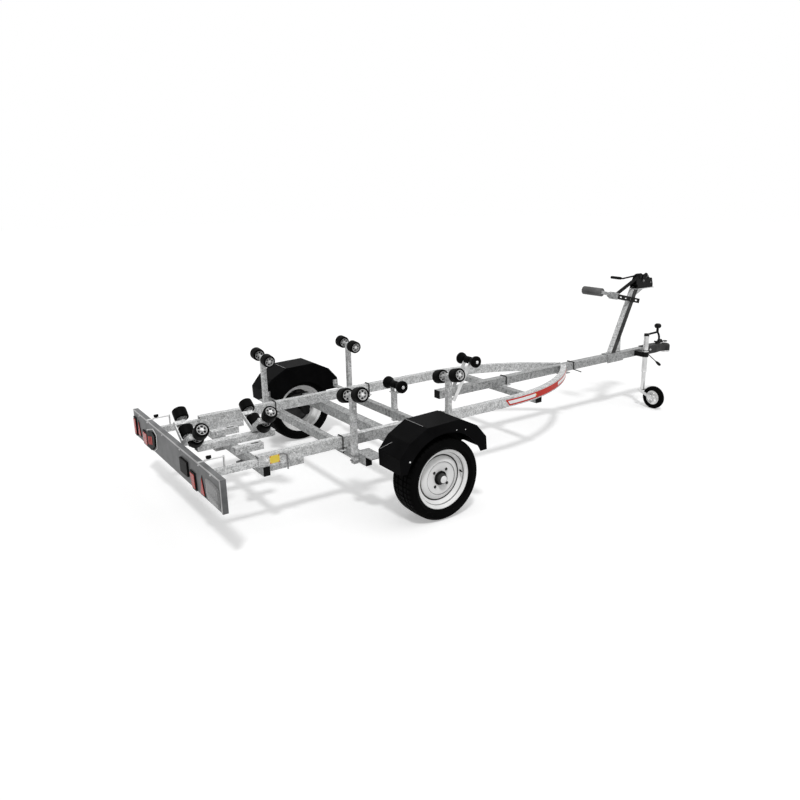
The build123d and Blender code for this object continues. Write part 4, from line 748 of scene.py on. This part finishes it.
# Clamps that hold the posts to the cross tubes
REAR_POSTS, FRONT_POSTS, POST_Y = -381.3, 321.3, 615
CLAMP_HALF, CLAMP_REACH = 20.4, 64
bm = bmesh.new()
for x, way, posts in ((REAR_POSTS, 1, (POST_Y, -POST_Y)), (FRONT_POSTS, -1, (POST_Y, -POST_Y, 0))):
    for y in posts:
        for z in (352, 384):
            back, tip = x - way * CLAMP_HALF, x + way * CLAMP_REACH
            low, high = y - CLAMP_HALF, y + CLAMP_HALF
            tube_along(bm, rounded([(tip, low, z), (back, low, z), (back, high, z), (tip, high, z)], 8), 3.8)
            for leg in (low, high):
                nut(bm, (x + way * 57.2, leg, z), (way, 0, 0), 7, 7.3, 6)
piece("post_clamps", bm, "frame", ZINC_DARK)

# Bolts through the roller heads, cradles, keel beam and channel brackets
bm = bmesh.new()
for x, y in ((REAR_POSTS, POST_Y), (REAR_POSTS, -POST_Y), (FRONT_POSTS, POST_Y), (FRONT_POSTS, -POST_Y)):
    for z in (674, 700):
        bolt_pair(bm, x, y, 16, z, 5.5)
for x in (-1100, -662):
    bolt_pair(bm, x, 0, 20, 456, 7)
for x in (-1060, -850, -760):
    bolt_pair(bm, x, 0, 30, 414, 5.5)
for y in (-215, -165, 165, 215):
    bolt(bm, (-921, y, 414), (0, 1 if y in (-165, 215) else -1, 0), 7)
piece("frame_bolts", bm, "frame", PLATED)
bm = bmesh.new()
for y in (-190, 190):
    slab(bm, (-846, -800), (y - 7, y + 7), (435.6, 436.6))
piece("channel_slots", bm, "frame", CAP)

# Weld beads at the drawbar, the winch post and its plates
bm = bmesh.new()
for flip in (-1, 1):
    weld(bm, (1962, flip * 31.5, 457), (2022, flip * 31.5, 457), 3.4)
    weld(bm, (2023, flip * 33, 398), (2023, flip * 33, 458), 3.2)
    weld(bm, (2588, flip * 25.6, 463.4), (2644, flip * 25.6, 463.4), 3.0)
    weld(bm, (2650, flip * 3.8, 463.4), (2738, flip * 3.8, 463.4), 2.6)
    weld(bm, (2862, flip * 25.4, 996), (2908, flip * 25.4, 996), 2.8)
weld(bm, (2587, -25, 463.4), (2587, 25, 463.4), 3.0)
piece("weld_beads", bm, "frame", ZINC_DARK)

# Winch: drum with webbing turns, toothed gear, cheeks, bolts, ratchet pawl and grip
DRUM_X, DRUM_Z = 2935, 1068
CRANK_X, CRANK_Z = 2990, 1104
PAWL_X, PAWL_Z = 3040, 1046
TEETH = 42
bm = bmesh.new()
reel = axis_frame((DRUM_X, 0, DRUM_Z), (0, 1, 0))
lathe(bm, [(0, -28), (32, -28), (32, 28), (0, 28)], reel, 40)
for flip in (-1, 1):
    ring = [(0, 28), (46, 28), (50.2, 27.4), (51, 29.4), (50.2, 31), (0, 31)]
    lathe(bm, [(r, flip * a) for r, a in ring], reel, 56)
gear = []
for k in range(TEETH):
    for share, radius in ((0.0, 50.4), (0.25, 54.3), (0.5, 54.3), (0.75, 50.4)):
        turn = 2 * pi * (k + share) / TEETH
        gear.append((radius * cos(turn), radius * sin(turn)))
prism(bm, gear, 31, 35, reel)
shaft_loop = [(0, -44), (6, -44), (7, -43), (7, 43), (6, 44), (0, 44)]
lathe(bm, shaft_loop, reel, 20)
piece("winch_reel", bm, "winch_drum", BLACK_STEEL, replaced=("winch_drum",))
TURNS = 26
turns = [(31, -26.5)]
for k in range(TURNS + 1):
    turns.append((34.2 + 0.9 * (k % 2), -26 + 52 * k / TURNS))
turns.append((31, 26.5))
turned("strap_turns", [turns], reel, 48, "winch_drum", WEB)

CHEEK_IN, CHEEK_OUT = 37, 41
FOOT_REAR, FOOT_FRONT, FOOT_Z, FOOT_TOP = 2866, 3072, 1003.2, 1007.2
PIN_EYE, HUMP_R = 8.4, 30


def pin_slot(x, z):
    # An eye for a pin, open to the foot of the plate by a hairline
    eye = [(x - 0.1, FOOT_Z)]
    for k in range(17):
        turn = radians(-91 - 358 * k / 16)
        eye.append((x + PIN_EYE * cos(turn), z + PIN_EYE * sin(turn)))
    return eye + [(x + 0.1, FOOT_Z)]


foot_line = [(FOOT_REAR, FOOT_Z)] + pin_slot(DRUM_X, DRUM_Z) + pin_slot(CRANK_X, CRANK_Z)
foot_line += [(FOOT_FRONT, FOOT_Z), (FOOT_FRONT, 1030), (3056, 1084)]
humped_cheek = foot_line + [(3024, 1088)]
for x, z, first, last in ((2968, 1104, 5, 140), (2893, 1106, 40, 190)):
    for k in range(13):
        turn = radians(first + (last - first) * k / 12)
        humped_cheek.append((x + HUMP_R * cos(turn), z + HUMP_R * sin(turn)))
humped_cheek += [(2848, 1078), (2850, 1046), (FOOT_REAR, 1030)]
plain_cheek = foot_line + [(3014, 1116), (2972, 1122), (2900, 1090), (FOOT_REAR, 1044)]
bm = bmesh.new()
prism(bm, humped_cheek, CHEEK_IN, CHEEK_OUT, UPRIGHT)
prism(bm, plain_cheek, -CHEEK_OUT, -CHEEK_IN, UPRIGHT)
slab(bm, (FOOT_REAR, FOOT_FRONT), (-CHEEK_IN, CHEEK_IN), (FOOT_Z, FOOT_TOP))
piece("winch_cheeks", bm, "frame", BLACK_STEEL, bevel=0.8, replaced=("winch_frame",))
bm = bmesh.new()
for x in (2884, 3056):
    for flip in (-1, 1):
        bolt(bm, (x, flip * 26, FOOT_TOP + 0.2), (0, 0, 1), 6.5)
# The crank sweeps close past the plain cheek, so only the humped one has bolts
for x, y, z, size in (
    (DRUM_X, -44.3, DRUM_Z, 8.5), (PAWL_X, -41.2, PAWL_Z, 6), (CRANK_X, -44.3, CRANK_Z, 7),
):
    bolt(bm, (x, y, z), (0, -1, 0), size)
piece("winch_bolts", bm, "frame", ZINC_DARK)
bm = bmesh.new()
boss = [(0, 0), (17, 0), (18, 1.5), (17, 4.5), (12, 6), (0, 6)]
lathe(bm, boss, axis_frame((2893, -41.2, 1106), (0, -1, 0)), 24)
prism(bm, [(2914, 1080), (2936, 1094), (2950, 1120), (2938, 1124), (2918, 1106)], 41.4, 50, UPRIGHT)
shaft(bm, (PAWL_X, -CHEEK_IN, PAWL_Z), (PAWL_X, CHEEK_IN, PAWL_Z), 6)
piece("winch_pawl", bm, "frame", BLACK_STEEL, bevel=1.2)
RIBS = 16
sleeve = [(7, 1)]
for k in range(RIBS + 1):
    ridge = 1.3 * (k % 2) * (0.5 if k in (1, RIBS - 1) else 1)
    sleeve.append((11.6 + ridge, 2 + 100 * k / RIBS))
sleeve.append((7, 103.5))
grip = axis_frame((2782, 76, 1090), (0, 1, 0))
turned("winch_grip", [sleeve], grip, 24, "winch_crank", CAP, sharp=50)

# Coupling: bolts, a wear ring and the latch knob
bm = bmesh.new()
for x in (3072, 3116):
    bolt_pair(bm, x, 0, 36.8, 428, 8)
piece("coupling_bolts", bm, "frame", PLATED)
bm = bmesh.new()
wear_ring = [(46.1, 372), (47.4, 373), (47.8, 379), (47.0, 384), (46.1, 385)]
lathe(bm, wear_ring, Matrix.Translation((3378, 0, 0)), 48)
knob = [(0, 462.3), (17, 462.3), (16, 470), (9, 474), (0, 475)]
lathe(bm, knob, Matrix.Translation((3340, 0, 0)), 24)
piece("coupling_trim", bm, "frame", PLATED)

# Jockey wheel: collars, a band, tyre and axle nuts
LEG, LEG_R = Matrix.Translation((2937, -120, 0)), 22.05
bm = bmesh.new()
for low, high, radius in ((448, 456, 27), (398, 404.5, 26), (266, 273, 23.4), (577, 590, 24)):
    ring = [(LEG_R, low), (radius - 1, low), (radius, low + 1)]
    ring += [(radius, high - 1), (radius - 1, high), (LEG_R, high)]
    lathe(bm, ring, LEG, 36)
piece("jockey_collars", bm, "frame", PLATED)
band = [(LEG_R, 457), (24.6, 457.4), (24.6, 463), (LEG_R, 463.4)]
turned("jockey_bands", [band], LEG, 36, "frame", CAP)
wheel_axle = joint["jockey_wheel_spin"]
small = axis_frame(wheel_axle["pos_m"], wheel_axle["axis"]) @ Matrix.Scale(MM, 4)
jockey_half = [
    (62.4, 16), (70, 19), (80, 22.6), (86, 23.4), (92, 22), (97, 17.5), (98.6, 13), (96.6, 12.2),
    (96.6, 9.6), (99.5, 8.8), (100, 3), (97.6, 2.2),
]
turned("jockey_tyre_body", [jockey_half + mirrored(jockey_half)], Matrix(), 64, "jockey_wheel", TYRE,
       place=small, replaced=("jockey_tyre",))
bm = bmesh.new()
axle_nut = [(0, 0), (10, 0), (10.4, 1), (10.4, 6), (9, 7.2), (0, 7.2)]
for flip in (-1, 1):
    lathe(bm, axle_nut, axis_frame((0, 0, flip * 34.2), (0, 0, flip)), 6)
piece("jockey_nuts", bm, "jockey_fork", PLATED, small)

# Light board: domed lamp, pale arcs on it as painted highlights, pale outline, plain red marks and screws
FACE_X = -1264.3
face_place = Matrix(((0, 0, -1, FACE_X), (1, 0, 0, 0), (0, 1, 0, 0), (0, 0, 0, 1)))
bm = bmesh.new()
COLS, ROWS = 44, 30
LAMP_Y, LAMP_Z, LAMP_HALF_Y, LAMP_HALF_Z = -654, 386, 101, 66
lamp_grid = []
for r in range(ROWS + 1):
    row = []
    v = -1 + 2 * r / ROWS
    for c in range(COLS + 1):
        u = -1 + 2 * c / COLS
        y = LAMP_Y + LAMP_HALF_Y * u * sqrt(1 - 0.30 * v * v * (1 if v < 0 else 0.25))
        z = LAMP_Z + LAMP_HALF_Z * v * sqrt(1 - 0.34 * u * u)
        rim_fall = (1 - u ** 8) * (1 - v ** 8)
        swell = 0.62 + 0.38 * max(0.0, cos(3 * pi * (v + 0.33) / 2)) * (1 if u < -0.1 else 0.5)
        row.append(bm.verts.new(face_place @ Vector((y, z, 1 + 12.5 * rim_fall * swell))))
    lamp_grid.append(row)
for r in range(ROWS):
    for c in range(COLS):
        bm.faces.new((lamp_grid[r][c], lamp_grid[r][c + 1], lamp_grid[r + 1][c + 1], lamp_grid[r + 1][c]))
border = lamp_grid[0] + [row[-1] for row in lamp_grid[1:]]
border += lamp_grid[-1][-2::-1] + [row[0] for row in lamp_grid[-2:0:-1]]
bm.faces.new(border)
piece("lamp_dome", bm, "light_board", CLEAR_LENS, sharp=60, replaced=("lamps_clear",))
# Three pale arcs on the lamp: painted highlights
bm = bmesh.new()
for y in (-734, -721, -708):
    arc = []
    for k in range(13):
        share = -1 + k / 6
        arc.append(face_place @ Vector((y + 9 * share ** 2, LAMP_Z + 46 * share, 9.0 - 2.5 * share ** 2)))
    tube_along(bm, arc, 1.7, 8)
piece("lamp_ribs", bm, "light_board", BOARD_EDGE)


BOARD_HALF, BOARD_LOW, BOARD_HIGH = 776, 316, 183


def board_shape(share_corners):
    return [(y * BOARD_HALF, BOARD_LOW + z * BOARD_HIGH) for y, z in share_corners]


red_shapes = (
    ((-0.53, 0.0), (-0.455, 0.0), (-0.42, 0.56), (-0.52, 0.56)),
    ((0.92, 0.06), (0.985, 0.06), (0.985, 0.76), (0.92, 0.76)),
    ((0.61, 0.0), (0.735, 0.0), (0.735, 0.52), (0.61, 0.52)),
    ((-0.695, 0.03), (-0.60, 0.03), (-0.6475, 0.68)),
    ((0.815, 0.12), (0.90, 0.12), (0.8575, 0.74)),
)
DEEP_LAMPS = 3
housings, lenses = bmesh.new(), bmesh.new()
for k, corners in enumerate(red_shapes):
    outline = [Vector(p) for p in board_shape(corners)]
    middle = sum(outline, Vector((0, 0))) / len(outline)
    deep = 12 if k < DEEP_LAMPS else 6
    prism(housings, [tuple(p) for p in outline], 0, deep - 3, face_place)
    inner = [tuple(p.lerp(middle, 0.2)) for p in outline]
    prism(lenses, inner, deep - 3, deep, face_place)
piece("lamp_housings", housings, "light_board", CAP, bevel=1.5, replaced=("lamps_red",))
piece("lamp_lenses", lenses, "light_board", RED_LENS, bevel=1.2)
bm = bmesh.new()
edge_loop = [(298, 356), (372, 318), (480, 318), (484, 432), (352, 470), (284, 448)]
for i, start in enumerate(edge_loop):
    end = edge_loop[(i + 1) % len(edge_loop)]
    a, b = face_place @ Vector((*start, 1.2)), face_place @ Vector((*end, 1.2))
    shaft(bm, a, b, 2.2, 8)
piece("block_outline", bm, "light_board", WHEEL_PAINT)
bm = bmesh.new()
for y0, y1, z0, z1 in ((356, 372, 366, 420), (388, 404, 358, 412), (420, 436, 350, 404)):
    prism(bm, [(y0, z0), (y1, z0), (y1, z1), (y0, z1)], 12, 13.2, face_place)
piece("block_marks", bm, "light_board", STRIP_RED, bevel=0.3)
bm = bmesh.new()
SHEET_X = -1263.9
for y in (-640, -463, -160, 160, 463, 640):
    bolt(bm, (SHEET_X, y, 484), (-1, 0, 0), 4.2)
piece("board_screws", bm, "light_board", PLATED)
bm = bmesh.new()
for flip in (-1, 1):
    slab(bm, (-1265.6, SHEET_X), sorted((flip * 760, flip * BOARD_HALF)), (312, 499))
slab(bm, (-1267, SHEET_X), (-BOARD_HALF, BOARD_HALF), (491, 499.6))
piece("board_edge", bm, "light_board", BOARD_EDGE, bevel=0.6)


# Camera, from a fit to the photograph, in level metres
CAMERA_AT = (-2.433, -4.0907, 1.9059)
CAMERA_YAW = radians(55.57)
CAMERA_PITCH = radians(16.44)
CAMERA_ROLL = radians(-1.07)
FOCAL_PX = 728.9
FRAME_PX = 800
SENSOR_MM = 36

forward = Vector((
    cos(CAMERA_YAW) * cos(CAMERA_PITCH), sin(CAMERA_YAW) * cos(CAMERA_PITCH), -sin(CAMERA_PITCH)
))
right = Vector((sin(CAMERA_YAW), -cos(CAMERA_YAW), 0))
above = right.cross(forward)
right_rolled = cos(CAMERA_ROLL) * right + sin(CAMERA_ROLL) * above
above_rolled = cos(CAMERA_ROLL) * above - sin(CAMERA_ROLL) * right
pose = Matrix((right_rolled, above_rolled, -forward)).transposed().to_4x4()
camera_data = bpy.data.cameras.new("camera")
camera_data.sensor_width = SENSOR_MM
camera_data.lens = FOCAL_PX / FRAME_PX * SENSOR_MM
camera_data.clip_end = 100
camera = bpy.data.objects.new("camera", camera_data)
camera.matrix_world = park @ (Matrix.Translation(CAMERA_AT) @ pose)
bpy.context.scene.collection.objects.link(camera)
bpy.context.scene.camera = camera


# Floor and background
HALF_FLOOR = 40.0
FLOOR_TONE = 0.75
FLOOR_LIFT = 0.36
WORLD_LIGHT = 0.28


def backdrop_rays(tree):
    # 1 for rays from the camera, mirrors and glass, so that they see a white background
    path = tree.nodes.new("ShaderNodeLightPath")
    first = tree.nodes.new("ShaderNodeMath")
    first.operation = "MAXIMUM"
    second = tree.nodes.new("ShaderNodeMath")
    second.operation = "MAXIMUM"
    tree.links.new(path.outputs["Is Camera Ray"], first.inputs[0])
    tree.links.new(path.outputs["Is Glossy Ray"], first.inputs[1])
    tree.links.new(first.outputs[0], second.inputs[0])
    tree.links.new(path.outputs["Is Transmission Ray"], second.inputs[1])
    return second.outputs[0]


floor_mesh = bpy.data.meshes.new("floor")
corners = [(x * HALF_FLOOR, y * HALF_FLOOR, 0) for x, y in ((-1, -1), (1, -1), (1, 1), (-1, 1))]
floor_mesh.from_pydata(corners, [], [(0, 1, 2, 3)])
floor = bpy.data.objects.new("floor", floor_mesh)
bpy.context.scene.collection.objects.link(floor)
floor_mat = bpy.data.materials.new("floor_paper")
floor_mat.use_nodes = True
tree = floor_mat.node_tree
tree.nodes.clear()
paper = tree.nodes.new("ShaderNodeBsdfDiffuse")
paper.inputs["Color"].default_value = (FLOOR_TONE, FLOOR_TONE, FLOOR_TONE, 1)
glow = tree.nodes.new("ShaderNodeEmission")
glow.inputs["Strength"].default_value = FLOOR_LIFT
dark = tree.nodes.new("ShaderNodeEmission")
dark.inputs["Strength"].default_value = 0.0
seen = tree.nodes.new("ShaderNodeMixShader")
both = tree.nodes.new("ShaderNodeAddShader")
out = tree.nodes.new("ShaderNodeOutputMaterial")
tree.links.new(backdrop_rays(tree), seen.inputs[0])
tree.links.new(dark.outputs[0], seen.inputs[1])
tree.links.new(glow.outputs[0], seen.inputs[2])
tree.links.new(paper.outputs[0], both.inputs[0])
tree.links.new(seen.outputs[0], both.inputs[1])
tree.links.new(both.outputs[0], out.inputs["Surface"])
floor_mesh.materials.append(floor_mat)

world = bpy.data.worlds.new("studio")
bpy.context.scene.world = world
world.use_nodes = True
tree = world.node_tree
sky = tree.nodes["Background"]
sky.inputs["Color"].default_value = (1, 1, 1, 1)
strength = tree.nodes.new("ShaderNodeMapRange")
strength.inputs["To Min"].default_value = WORLD_LIGHT
strength.inputs["To Max"].default_value = 1.0
tree.links.new(backdrop_rays(tree), strength.inputs["Value"])
tree.links.new(strength.outputs["Result"], sky.inputs["Strength"])


def soft_sun(name, way, spread, strength):
    data = bpy.data.lights.new(name, "SUN")
    data.angle = radians(spread)
    data.energy = strength
    lamp = bpy.data.objects.new(name, data)
    lamp.location = (0, 0, 6)
    lamp.rotation_euler = Vector(way).to_track_quat("-Z", "Y").to_euler()
    bpy.context.scene.collection.objects.link(lamp)


soft_sun("key_light", (0.36, 0.50, -1.0), 7, 1.45)
soft_sun("top_light", (-0.20, 0.25, -1.0), 60, 0.8)

bpy.context.scene.view_settings.view_transform = "Standard"
